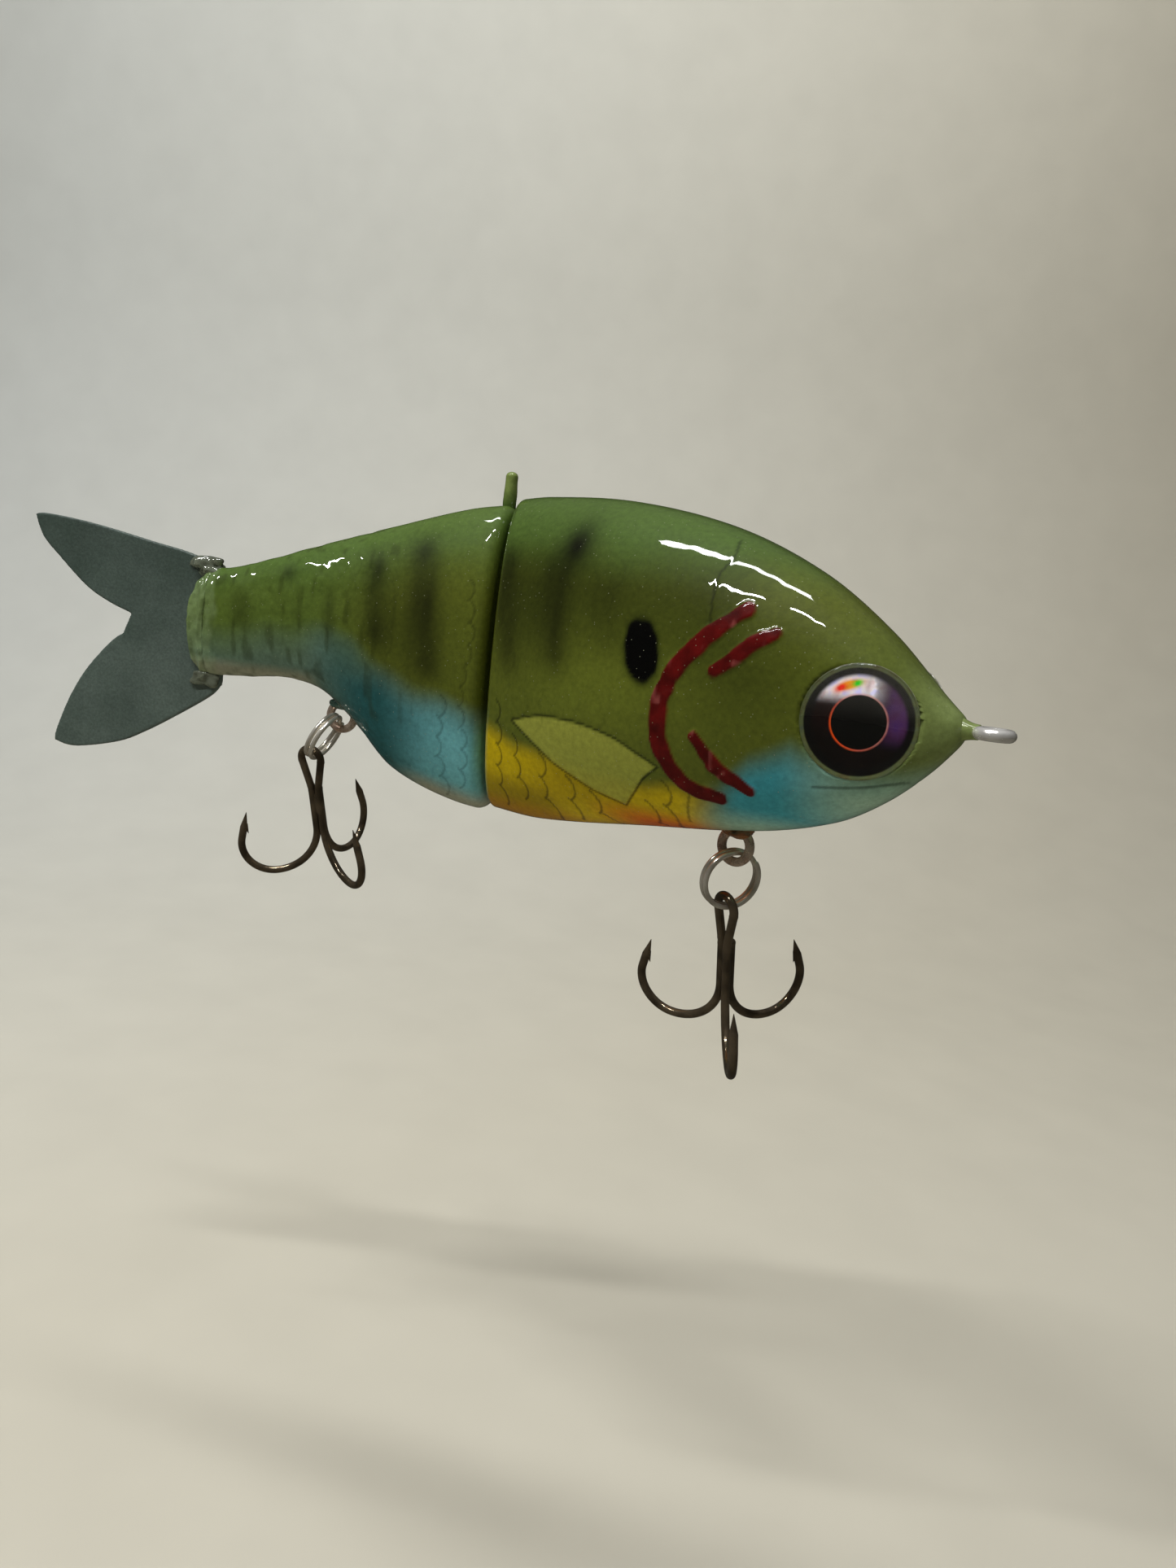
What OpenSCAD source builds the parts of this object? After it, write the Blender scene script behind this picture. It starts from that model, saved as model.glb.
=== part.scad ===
// Two-piece jointed swimbait with a forked sheet tail and two hanging treble hooks.
// Millimetres. The origin is the centre of the line tie loop, +X points out of the nose,
// +Y to the fish's left and +Z up. The rear section is drawn straight behind the front one
// and then swung about the hinge pin by rest_bend.

/* [Body] */
// Line tie centre to the point of the vee at the back of the front section
front_length = 78.1; // [74:0.1:84]
// Length of the rear section, from its flat front face to the tail root
rear_length = 56.8; // [52:0.1:62]
// Height of the back above the line tie
back_height = 25; // [22:0.5:28]
// Depth of the belly below the line tie
belly_depth = 23.3; // [21:0.1:25]
// Half of the greatest body thickness
half_width = 12.2; // [11:0.1:14]

/* [Joint] */
// Angle of the rear section at rest, positive toward the fish's right
rest_bend = 24.5; // [-30:0.5:30]
// Slope of each face of the vee from square
vee_angle = 33.5; // [33:0.5:40]
// Diameter of the hinge pin
pin_d = 2; // [1.6:0.1:2.2]
// Height of the pin's top above the line tie
pin_top = 28.8; // [27:0.1:32]

/* [Tail] */
// Tail root to the rearmost tip of the upper lobe
tail_reach = 33.2; // [28:0.1:38]
// Thickness of the tail sheet
tail_thickness = 1; // [0.8:0.1:1.4]

/* [Eyes] */
// Diameter of the clear eye lens
eye_d = 13.8; // [12:0.1:14]
// Height of the lens dome over its rim
dome_height = 1.1; // [1:0.1:3]

/* [Hardware] */
// Wire diameter of the line tie
tie_wire = 1.5; // [1.2:0.1:1.6]
// Wire diameter of the hook hangers and the joint's screw eyes
eye_wire = 1.3; // [1.1:0.1:1.4]
// Mean radius of the split rings
ring_radius = 4; // [3.9:0.1:4.1]
// Wire diameter of the split rings
ring_wire = 0.8; // [0.6:0.1:0.8]
// Wire diameter of the treble hooks
hook_wire = 1.24; // [1:0.02:1.3]
// Distance from a treble hook's axis to its points
hook_spread = 12; // [11:0.1:13]

/* [Hidden] */
$fn = 48;

around = 32;                          // points round a body section
squareness = 2.3;                     // exponent of the superellipse section
edge_round = 2;                       // rounding of the edges that face the joint
vee_slope = tan(vee_angle);

face_gap = 0.55;                      // vee point to the rear section's front face, when straight
face_to_pin = 1.55;                   // rear section's front face to the pin's centre
rear_front = -front_length - face_gap;
pin_x = rear_front - face_to_pin;
tail_x = rear_front - rear_length;    // end of the rear section
collar_width = 3.6;
collar_x = tail_x + collar_width;
blade_hinge_x = tail_x - 1.8;
joint_eye_z = [14, -12];
joint_eye_r = 1.65;
joint_clearance = 0.08;
pin_bottom = -18;

tie_r = 1.7;                          // mean radius of the line tie loop
tie_bore_r = 1.05;
hanger_r = 2.2;                       // mean radius of the hanger loops
hanger_land_r = 1.6;
shank_length = 13;
front_hanger_at = [-0.407 * front_length, 0, -0.863 * belly_depth];
rear_hanger_at = [rear_front - 0.485 * rear_length, 0, -0.551 * belly_depth];

eye_at = [-13.6, 6.5, -0.5];          // centre of the left eye's seat
eye_yaw = 66;                         // heading of the left eye's axis from straight ahead
foil_thickness = 0.3;
lens_edge = 0.6;
pocket_clearance = 0.05;

hang_tilt = 16.9;                     // lean of the hooks' axes from the lure's own upright
hang_heading = -74.3;
braze_r = 0.74;                       // distance of the three shanks from a hook's axis
hook_floor = -22.9;                   // lowest wire centre below the top of a hook's eye

// Split rings: centre from the hanger loop's centre, and the lean and heading of the axis
front_ring_at = front_hanger_at + [-0.41, 0.46, -4.77];
front_ring_axis = [98.3, -28.9];
rear_ring_at = rear_hanger_at + [-2.29, -1.47, -3.63];
rear_ring_axis = [116.7, 2.5];
// Hooks: top of the eye, heading of the body's lean and heading of the eye's plane
front_hook_at = front_ring_at + [-0.16, 0.34, -1.94];
front_hook_heading = -21;
rear_hook_at = rear_ring_at + [-1.86, -1.04, -1.53];
rear_hook_heading = -4;
rear_hang_heading = hang_heading - 24;

// Tail outline as [distance behind the tail root, height]
tail_scale = tail_reach / 33.2;
tail_top_edge = [[-4.2, 10], [-1.8, 10.5], [2.8, 11.6], [9, 12.6], [17, 14], [24, 15], [31, 15.6], [33.2, 15.3]];
tail_upper_fork = [[33.2, 15.3], [31.5, 11.6], [28, 8.4], [22, 3.7], [17, 1.3], [12, -0.3], [10, -1.4]];
tail_lower_fork = [[10, -1.4], [12, -3], [15.5, -4.7], [20.5, -10], [24, -15.5], [26.8, -22], [27.3, -24.4]];
tail_low_edge = [[27.3, -24.4], [23, -25], [14.5, -23.1], [9, -20.6], [2.2, -16.6], [-4.2, -12.4], [-6, -10]];
tail_tang = [[-10.5, -6.5], [-10.5, 7.5], [-5, 8]];
blade_gap = 0.3;

// Outlines as [share of the section's length, share of a driving height, depth or width]
front_back_line = [[0.04, 0.04], [0.09, 0.16], [0.19, 0.425], [0.32, 0.68], [0.49, 0.88],
                   [0.7, 0.99], [0.9, 1.003], [1, 0.98]];
front_belly_line = [[0.04, 0.05], [0.09, 0.25], [0.155, 0.45], [0.23, 0.605], [0.36, 0.74],
                    [0.58, 0.865], [0.84, 1], [1, 1.01]];
front_half_line = [[0.04, 0.12], [0.115, 0.46], [0.205, 0.7], [0.33, 0.9], [0.51, 0.99],
                   [0.7, 0.99], [1, 0.81]];
rear_back_line = [[0, 0.955], [0.13, 0.905], [0.34, 0.765], [0.59, 0.585], [0.82, 0.415], [1, 0.33]];
rear_belly_line = [[0, 1.06], [0.1, 1.03], [0.22, 0.95], [0.315, 0.84], [0.385, 0.68],
                   [0.455, 0.53], [0.545, 0.385], [0.66, 0.33], [0.8, 0.36], [1, 0.395]];
rear_half_line = [[0, 0.81], [0.2, 0.705], [0.43, 0.565], [0.64, 0.41], [0.82, 0.295], [1, 0.2]];

// Smooth curve through the points of an outline
function slope(p, i) =
    let (a = p[max(i - 1, 0)], b = p[min(i + 1, len(p) - 1)]) (b[1] - a[1]) / (b[0] - a[0]);
function segment(p, t, i = 0) = (i >= len(p) - 2 || t < p[i + 1][0]) ? i : segment(p, t, i + 1);
function curve(p, t) =
    let (i = segment(p, t), h = p[i + 1][0] - p[i][0], u = (t - p[i][0]) / h)
    p[i][1] * (2 * u^3 - 3 * u^2 + 1) + p[i + 1][1] * (3 * u^2 - 2 * u^3)
    + h * (slope(p, i) * (u^3 - 2 * u^2 + u) + slope(p, i + 1) * (u^3 - u^2));

// How far a surface has drawn in at a distance d from the end of a round of radius r
function drawn_in(d, r) = d >= r ? 0 : r - sqrt(r^2 - (r - d)^2);
function power(v, e) = sign(v) * pow(abs(v), e);

// One ring of points. lean moves the flanks forward, as the vee does.
function section(x, top, bottom, half, lean = 0) =
    [for (k = [0 : around - 1])
        let (a = 360 * k / around,
             y = half * power(cos(a), 2 / squareness),
             z = (top + bottom) / 2 + (top - bottom) / 2 * power(sin(a), 2 / squareness))
        [x + lean * abs(y), y, z]];

// Front section at share t of its length
function front_section(t) =
    let (lean = vee_slope * max(0, (t - 0.8) / 0.2),
         flank_t = t - lean * 0.75 * half_width / front_length,
         nose_in = drawn_in((t - 0.04) * front_length, 1),
         edge_in = drawn_in((1 - t) * front_length, edge_round))
    section(-t * front_length,
            back_height * curve(front_back_line, t) - nose_in - edge_in,
            -belly_depth * curve(front_belly_line, t) + nose_in + edge_in,
            half_width * curve(front_half_line, flank_t) - nose_in - edge_in, lean);

// Rear section at share t of its length, its tail end rounded when seen from the side
function rear_section(t, swell = 0) =
    let (edge_in = drawn_in(t * rear_length, edge_round),
         end_in = drawn_in((1 - t) * rear_length, 5),
         side_in = drawn_in((1 - t) * rear_length, 1.2))
    section(rear_front - t * rear_length,
            back_height * curve(rear_back_line, t) - edge_in - end_in + swell,
            -belly_depth * curve(rear_belly_line, t) + edge_in + end_in - swell,
            half_width * curve(rear_half_line, t) - edge_in - side_in + swell);

front_stations = [0.043, 0.047, 0.055, 0.07, 0.09, 0.115, 0.14, 0.17, 0.21, 0.26, 0.32, 0.39, 0.47,
                  0.56, 0.65, 0.74, 0.8, 0.87, 0.94, 0.974, 0.982, 0.99, 0.996, 1];
rear_stations = [0, 0.004, 0.011, 0.02, 0.036, 0.09, 0.16, 0.22, 0.27, 0.32, 0.36, 0.4, 0.44, 0.48,
                 0.53, 0.6, 0.68, 0.77, 0.86];
collar_t = 1 - collar_width / rear_length;

// Closed skin through a list of rings. The end caps have their own line of middle points.
module skin(rings) {
    n = len(rings[0]);
    last = len(rings) - 1;
    flat = [for (ring = rings) for (p = ring) p];
    middle = [for (r = [0, last]) [rings[r][n / 4][0], 0, (rings[r][n / 4][2] + rings[r][3 * n / 4][2]) / 2]];
    walls = [for (r = [0 : last - 1]) for (k = [0 : n - 1])
        let (a = r * n + k, b = r * n + (k + 1) % n)
        each [[a, b, b + n], [a, b + n, a + n]]];
    caps = [for (k = [0 : n - 1])
        each [[(k + 1) % n, k, (last + 1) * n],
              [last * n + k, last * n + (k + 1) % n, (last + 1) * n + 1]]];
    polyhedron(concat(flat, middle), concat(walls, caps));
}

module front_skin() skin([for (t = front_stations) front_section(t)]);
module rear_skin() skin([for (t = concat(rear_stations, [collar_t])) rear_section(t)]);
module whole_rear_skin() skin([for (t = concat(rear_stations, [collar_t, 1])) rear_section(t)]);

// Screw eye: a loop about Z with its shank pointing along +X
module screw_eye(loop_r, wire, shank, land_r) {
    difference() {
        union() {
            rotate_extrude()
                translate([loop_r, 0]) circle(d = wire);
            translate([loop_r, 0, 0])
                rotate([0, 90, 0]) cylinder(d = wire - 0.1, h = shank - loop_r);
        }
        cylinder(r = land_r, h = wire + 1, center = true);
    }
}

module vee_cut() {
    reach = 2 * half_width;
    translate([-front_length, 0, -40])
        linear_extrude(80)
            polygon([[0, 0], [reach * vee_slope, reach], [-reach, reach],
                     [-reach, -reach], [reach * vee_slope, -reach]]);
}

// Places the rear section's parts at the resting bend
module swung() {
    translate([pin_x, 0, 0]) rotate([0, 0, rest_bend]) translate([-pin_x, 0, 0]) children();
}

module line_tie_shape() rotate([0, 0, 180]) screw_eye(tie_r, tie_wire, 18, tie_bore_r);
module joint_eye(z) translate([pin_x, 0, z])
    screw_eye(joint_eye_r, eye_wire, shank_length, pin_d / 2 + joint_clearance);
module hanger(at) translate(at) rotate([90, -90, 0])
    screw_eye(hanger_r, eye_wire, shank_length, hanger_land_r);

// Epoxy bead at a hanger: [bottom, top of its pocket]
bead_r = 1.9;
front_bead = [-18.4, -16];
rear_bead = [-11.4, -9.4];
module bead_pocket(at, bead) translate([at[0], 0, bead[1] - 20]) cylinder(r = bead_r, h = 20);
module bead_solid(at, bead) {
    chamfer = 0.5;
    translate([at[0], 0, bead[0]]) cylinder(r1 = bead_r - chamfer, r2 = bead_r, h = chamfer);
    translate([at[0], 0, bead[0] + chamfer]) cylinder(r = bead_r, h = bead[1] - bead[0] - chamfer);
}

module left_eye_place() translate(eye_at) rotate([0, 90, eye_yaw]) children();
module right_eye_place() mirror([0, 1, 0]) left_eye_place() children();
module eye_pocket() cylinder(d = eye_d + 2 * pocket_clearance, h = 10);

// Ballast: [x, diameter, bottom, top] of each slug, in a hole drilled up from the belly
nose_slug = [-22, 6, -12, -5];
belly_slug = [-50, 7, -17, -9];
rear_slug = [-92, 6, -18, -11];
module ballast_hole(slug) translate([slug[0], 0, -40]) cylinder(d = slug[1], h = slug[3] + 40);
module slug_solid(slug) translate([slug[0], 0, slug[2]]) cylinder(d = slug[1], h = slug[3] - slug[2]);
module plug_cylinder(slug) translate([slug[0], 0, -40]) cylinder(d = slug[1], h = slug[2] + 40);

module front_bead_pocket() bead_pocket(front_hanger_at, front_bead);
module rear_bead_pocket() bead_pocket(rear_hanger_at, rear_bead);

module front_body() {
    color("olivedrab") difference() {
        front_skin();
        vee_cut();
        line_tie_shape();
        for (z = joint_eye_z) {
            joint_eye(z);
            translate([pin_x, 0, z - 0.75]) cylinder(r = 2.4, h = 1.5);
        }
        hanger(front_hanger_at);
        front_bead_pocket();
        left_eye_place() eye_pocket();
        right_eye_place() eye_pocket();
        ballast_hole(nose_slug);
        ballast_hole(belly_slug);
    }
}

module rear_body() {
    color("darkolivegreen") swung() difference() {
        rear_skin();
        translate([pin_x, 0, pin_bottom]) cylinder(d = pin_d, h = 60);
        for (z = joint_eye_z) {
            translate([pin_x, 0, z - 0.95]) cylinder(r = 2.7, h = 1.9);
        }
        hanger(rear_hanger_at);
        rear_bead_pocket();
        tail_sheet();
        ballast_hole(rear_slug);
    }
}

module hinge_pin() {
    crown = pin_d / 2;
    color("darkolivegreen") swung() translate([pin_x, 0, 0]) {
        translate([0, 0, pin_bottom]) cylinder(d = pin_d, h = pin_top - crown - pin_bottom);
        translate([0, 0, pin_top - crown]) sphere(d = pin_d);
    }
}

module upper_joint_eye() color("silver") joint_eye(joint_eye_z[0]);
module lower_joint_eye() color("silver") joint_eye(joint_eye_z[1]);
module line_tie() color("silver") line_tie_shape();

module line_tie_epoxy() {
    nose_x = -front_stations[0] * front_length;
    color("darkseagreen") difference() {
        translate([nose_x, 0, 0]) rotate([0, 90, 0]) cylinder(r1 = 1.1, r2 = 0.9, h = 1);
        line_tie_shape();
    }
}

module eye_foil() cylinder(d = eye_d, h = foil_thickness);

// Clear lens: a rim with a spherical dome on it
module eye_lens() {
    rim_r = eye_d / 2;
    ball_r = (rim_r^2 + dome_height^2) / (2 * dome_height);
    translate([0, 0, foil_thickness]) {
        cylinder(d = eye_d, h = lens_edge);
        intersection() {
            translate([0, 0, lens_edge + dome_height - ball_r]) sphere(r = ball_r);
            translate([0, 0, lens_edge]) cylinder(d = eye_d, h = dome_height + 1);
        }
    }
}

module left_eye_foil() color("maroon") left_eye_place() eye_foil();
module right_eye_foil() color("maroon") right_eye_place() eye_foil();
module left_eye_lens() color("lightcyan") left_eye_place() eye_lens();
module right_eye_lens() color("lightcyan") right_eye_place() eye_lens();

module front_hanger() color("silver") hanger(front_hanger_at);
module rear_hanger() color("silver") swung() hanger(rear_hanger_at);
module front_hanger_epoxy() color("peru") difference() {
    bead_solid(front_hanger_at, front_bead);
    hanger(front_hanger_at);
}
module rear_hanger_epoxy() color("teal") swung() difference() {
    bead_solid(rear_hanger_at, rear_bead);
    hanger(rear_hanger_at);
}

// Split ring: two turns of wire lying against each other
module split_ring(at, axis) {
    turn_offset = 0.47 * ring_wire;
    translate(at) rotate([0, axis[0], axis[1]]) rotate_extrude() translate([ring_radius, 0]) {
        for (side = [-1, 1]) translate([0, side * turn_offset]) circle(d = ring_wire);
        square([0.6 * ring_wire, 2 * turn_offset], center = true);
    }
}
module front_split_ring() color("gainsboro") split_ring(front_ring_at, front_ring_axis);
module rear_split_ring() color("gainsboro") swung() split_ring(rear_ring_at, rear_ring_axis);

// Wire bent round an arc in the XZ plane, from start through angle
module wire_arc(r, start, angle) rotate([90, 0, 0])
    rotate_extrude(angle = angle, start = start) translate([r, 0]) circle(d = hook_wire);

// Small swelling that joins two lengths of wire
module weld() sphere(d = hook_wire * 1.06);

// One arm of a treble hook in the XZ plane, from the top of its shank to the point
module hook_arm(shank_top) {
    spear_lean = 16;
    spear = 2.2;
    needle = 2.8;
    point_bend = 5.2;
    bend_x = hook_spread - point_bend * cos(spear_lean) + (spear + needle) * sin(spear_lean);
    wide_bend = bend_x - braze_r;
    bend_z = hook_floor + wide_bend;
    translate([braze_r, 0, bend_z]) cylinder(d = hook_wire, h = shank_top - bend_z);
    translate([bend_x, 0, bend_z]) wire_arc(wide_bend, 180, 90);
    translate([bend_x, 0, hook_floor + point_bend]) {
        wire_arc(point_bend, 270, 90 + spear_lean);
        rotate([0, -spear_lean, 0]) translate([point_bend, 0, 0]) {
            cylinder(d = hook_wire, h = spear);
            translate([0, 0, spear]) cylinder(r1 = hook_wire / 2, r2 = 0.05, h = needle);
            translate([-0.2, 0, spear + 0.5]) rotate([0, 205, 0]) cylinder(r1 = 0.4, r2 = 0.05, h = 1.7);
        }
    }
}

// Treble hook hanging from the top of its eye. One wire makes the eye and two of the arms;
// the third arm is brazed between them.
module treble_hook(at, heading, lean_heading) {
    eye_r = 1.85;
    leg_lean = 13;
    knee_r = 4;
    shank_x = braze_r * cos(30);
    eye_z = -eye_r - hook_wire / 2;
    knee_x = shank_x + knee_r * (1 - cos(leg_lean));
    leg_length = (eye_r * cos(leg_lean) - knee_x) / sin(leg_lean);
    leg_end_z = eye_z - eye_r * sin(leg_lean) - leg_length * cos(leg_lean);
    shank_top = leg_end_z - knee_r * sin(leg_lean);
    braze = 3.5;
    trim = 0.08;
    translate(at) rotate([0, hang_tilt, lean_heading]) rotate([0, 0, heading - lean_heading]) {
        translate([0, -braze_r * sin(30), 0]) {
            translate([0, 0, eye_z]) wire_arc(eye_r, -leg_lean, 180 + 2 * leg_lean);
            for (side = [0, 1]) mirror([side, 0, 0]) {
                translate([eye_r * cos(leg_lean), 0, eye_z - eye_r * sin(leg_lean)]) {
                    weld();
                    rotate([0, 180 + leg_lean, 0])
                        translate([0, 0, trim]) cylinder(d = hook_wire, h = leg_length - 2 * trim);
                }
                translate([knee_x, 0, leg_end_z]) weld();
                translate([shank_x + knee_r, 0, shank_top])
                    wire_arc(knee_r, 180 - leg_lean + 1, leg_lean - 2);
            }
        }
        translate([0, 0, shank_top - braze - 0.5]) cylinder(r = braze_r, h = braze);
        for (arm = [0 : 2]) rotate([0, 0, 90 + 120 * arm]) {
            translate([braze_r, 0, shank_top]) weld();
            hook_arm(shank_top - trim);
        }
    }
}
module front_treble_hook() color("dimgray")
    treble_hook(front_hook_at, front_hook_heading, hang_heading);
module rear_treble_hook() color("dimgray")
    swung() treble_hook(rear_hook_at, rear_hook_heading, rear_hang_heading);

// Points of a smooth line through p, four steps to a span
function spline(p) = [for (i = [0 : len(p) - 2]) for (u = [0 : 0.25 : 0.75])
    let (a = p[max(i - 1, 0)], b = p[i], c = p[i + 1], d = p[min(i + 2, len(p) - 1)])
    b + 0.5 * u * (c - a) + u^2 * (a - 2.5 * b + 2 * c - 0.5 * d) + 0.5 * u^3 * (3 * (b - c) + d - a)];

module tail_sheet() {
    outline = concat(spline(tail_top_edge), spline(tail_upper_fork), spline(tail_lower_fork),
                     spline(tail_low_edge), [tail_low_edge[len(tail_low_edge) - 1]], tail_tang);
    translate([tail_x, tail_thickness / 2, 0]) rotate([90, 0, 0]) linear_extrude(tail_thickness)
        polygon([for (p = outline) [-tail_scale * p[0], p[1]]]);
}

module tail_slab(from_x, to_x) translate([to_x, -5, -40]) cube([from_x - to_x, 10, 80]);

module tail_root() color("darkslategray") swung() intersection() {
    tail_sheet();
    tail_slab(-100, blade_hinge_x + tail_thickness / 2 + blade_gap);
}

module tail_blade() {
    root_top = 11.2;
    root_bottom = -16.3;
    color("darkslategray") swung() {
        intersection() {
            tail_sheet();
            tail_slab(blade_hinge_x, -200);
        }
        translate([blade_hinge_x, 0, root_bottom]) cylinder(d = tail_thickness, h = root_top - root_bottom);
    }
}

collar_stations = [collar_t, 0.95, 0.963, 0.975, 0.985, 0.993, 1];
module collar_skin() skin([for (t = collar_stations) rear_section(t, 0.2)]);
module tail_collar() color("olive") swung() difference() {
    collar_skin();
    tail_sheet();
}

module tail_epoxy_beads() color("darkkhaki") swung() difference() {
    for (z = [9.5, -9.7]) translate([collar_x, 0, z]) sphere(r = 1.5);
    rear_skin();
    collar_skin();
    tail_sheet();
}

module nose_ballast() color("slategray") slug_solid(nose_slug);
module belly_ballast() color("slategray") slug_solid(belly_slug);
module rear_ballast() color("slategray") swung() slug_solid(rear_slug);
module nose_plug() color("khaki") intersection() {
    front_skin();
    plug_cylinder(nose_slug);
}
module belly_plug() color("khaki") intersection() {
    front_skin();
    plug_cylinder(belly_slug);
}
module rear_plug() color("khaki") swung() intersection() {
    rear_skin();
    plug_cylinder(rear_slug);
}

front_body();
rear_body();
hinge_pin();
upper_joint_eye();
lower_joint_eye();
line_tie();
line_tie_epoxy();
left_eye_foil();
right_eye_foil();
left_eye_lens();
right_eye_lens();
front_hanger();
front_hanger_epoxy();
front_split_ring();
front_treble_hook();
rear_hanger();
rear_hanger_epoxy();
rear_split_ring();
rear_treble_hook();
tail_root();
tail_blade();
tail_collar();
tail_epoxy_beads();
nose_ballast();
belly_ballast();
rear_ballast();
nose_plug();
belly_plug();
rear_plug();
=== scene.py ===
"""Two-piece jointed swimbait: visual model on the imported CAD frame. Metres, +X nose, +Z back."""
import math

import bmesh
import bpy
import numpy as np
from mathutils import Matrix, Vector


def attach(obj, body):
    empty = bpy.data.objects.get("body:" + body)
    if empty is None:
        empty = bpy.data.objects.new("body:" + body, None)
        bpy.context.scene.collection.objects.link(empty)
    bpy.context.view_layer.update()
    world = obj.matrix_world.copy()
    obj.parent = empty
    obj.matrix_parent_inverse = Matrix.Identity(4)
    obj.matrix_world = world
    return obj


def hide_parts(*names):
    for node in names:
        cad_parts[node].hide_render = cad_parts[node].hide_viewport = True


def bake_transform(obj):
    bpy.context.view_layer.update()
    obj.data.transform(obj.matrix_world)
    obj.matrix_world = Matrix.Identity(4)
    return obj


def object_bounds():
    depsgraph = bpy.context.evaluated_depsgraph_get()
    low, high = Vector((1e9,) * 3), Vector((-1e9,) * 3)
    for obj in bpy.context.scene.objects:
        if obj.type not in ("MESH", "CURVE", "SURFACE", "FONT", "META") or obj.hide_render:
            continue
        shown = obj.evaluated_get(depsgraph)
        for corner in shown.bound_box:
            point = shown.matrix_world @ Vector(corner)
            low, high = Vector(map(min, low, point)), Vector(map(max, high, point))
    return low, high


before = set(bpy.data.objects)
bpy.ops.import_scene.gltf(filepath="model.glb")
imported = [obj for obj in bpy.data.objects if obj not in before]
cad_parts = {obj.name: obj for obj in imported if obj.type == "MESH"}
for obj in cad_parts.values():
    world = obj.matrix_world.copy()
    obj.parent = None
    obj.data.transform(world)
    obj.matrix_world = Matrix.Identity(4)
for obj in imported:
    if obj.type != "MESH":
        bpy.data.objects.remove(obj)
cad_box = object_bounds()

MM = 0.001

# Driving dimensions, in millimetres, as the CAD has them
FRONT_LENGTH = 78.1
REAR_LENGTH = 56.8
BACK_HEIGHT = 25.0
BELLY_DEPTH = 23.3
HALF_WIDTH = 12.2
EDGE_ROUND = 2.0
VEE_SLOPE = math.tan(math.radians(33.5))
SQUARENESS = 2.3
REAR_FRONT = -FRONT_LENGTH - 0.55
PIN_X = REAR_FRONT - 1.55
TAIL_X = REAR_FRONT - REAR_LENGTH
COLLAR_WIDTH = 3.6
COLLAR_X = TAIL_X + COLLAR_WIDTH
COLLAR_T = 1 - COLLAR_WIDTH / REAR_LENGTH
REST_BEND = math.radians(24.5)
JOINT_EYE_Z = (14.0, -12.0)
EYE_AT = np.array([-13.6, -6.5, -0.5])
EYE_AXIS = np.array([math.cos(math.radians(66)), -math.sin(math.radians(66)), 0.0])
EYE_R = 6.9

# Outlines as (share of the section's length, share of a driving height, depth or width)
FRONT_BACK = [(0.04, 0.04), (0.09, 0.16), (0.19, 0.425), (0.32, 0.68), (0.49, 0.88), (0.7, 0.99),
              (0.9, 1.003), (1, 0.98)]
FRONT_BELLY = [(0.04, 0.05), (0.09, 0.25), (0.155, 0.45), (0.23, 0.605), (0.36, 0.74), (0.58, 0.865),
               (0.84, 1), (1, 1.01)]
FRONT_HALF = [(0.04, 0.12), (0.115, 0.46), (0.205, 0.7), (0.33, 0.9), (0.51, 0.99), (0.7, 0.99), (1, 0.81)]
REAR_BACK = [(0, 0.955), (0.13, 0.905), (0.34, 0.765), (0.59, 0.585), (0.82, 0.415), (1, 0.33)]
REAR_BELLY = [(0, 1.06), (0.1, 1.03), (0.22, 0.95), (0.315, 0.84), (0.385, 0.68), (0.455, 0.53),
              (0.545, 0.385), (0.66, 0.33), (0.8, 0.36), (1, 0.395)]
REAR_HALF = [(0, 0.81), (0.2, 0.705), (0.43, 0.565), (0.64, 0.41), (0.82, 0.295), (1, 0.2)]


# ---------------------------------------------------------------- shapes

def curve(points, t):
    """Smooth curve through the points of an outline, at every share in t."""
    p = np.array(points, float)
    first = np.maximum(np.arange(len(p)) - 1, 0)
    last = np.minimum(np.arange(len(p)) + 1, len(p) - 1)
    slope = (p[last, 1] - p[first, 1]) / (p[last, 0] - p[first, 0])
    t = np.clip(t, p[0, 0], p[-1, 0])
    i = np.clip(np.searchsorted(p[:, 0], t, side="right") - 1, 0, len(p) - 2)
    h = p[i + 1, 0] - p[i, 0]
    u = (t - p[i, 0]) / h
    return (p[i, 1] * (2 * u**3 - 3 * u**2 + 1) + p[i + 1, 1] * (3 * u**2 - 2 * u**3)
            + h * (slope[i] * (u**3 - 2 * u**2 + u) + slope[i + 1] * (u**3 - u**2)))


def drawn_in(d, r):
    """How far a surface has drawn in at a distance d from the end of a round of radius r."""
    d = np.clip(d, 0, r)
    return r - np.sqrt(r**2 - (r - d)**2)


def power(v, e):
    return np.sign(v) * np.abs(v)**e


def section(x, top, bottom, half, lean, a):
    """Rings of points, one row per station, one column per angle."""
    y = half[:, None] * power(np.cos(a), 2 / SQUARENESS)[None]
    z = ((top + bottom) / 2)[:, None] + ((top - bottom) / 2)[:, None] * power(np.sin(a), 2 / SQUARENESS)[None]
    return np.stack([x[:, None] + lean[:, None] * np.abs(y), y, z], axis=2)


def front_rings(t, a):
    lean = VEE_SLOPE * np.clip((t - 0.8) / 0.2, 0, 1)
    flank_t = t - lean * 0.75 * HALF_WIDTH / FRONT_LENGTH
    nose_in = drawn_in((t - 0.04) * FRONT_LENGTH, 1.2)
    edge_in = drawn_in((1 - t) * FRONT_LENGTH, EDGE_ROUND)
    return section(-t * FRONT_LENGTH,
                   BACK_HEIGHT * curve(FRONT_BACK, t) - nose_in - edge_in,
                   -BELLY_DEPTH * curve(FRONT_BELLY, t) + nose_in + edge_in,
                   HALF_WIDTH * curve(FRONT_HALF, flank_t) - nose_in - edge_in, lean, a)


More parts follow.
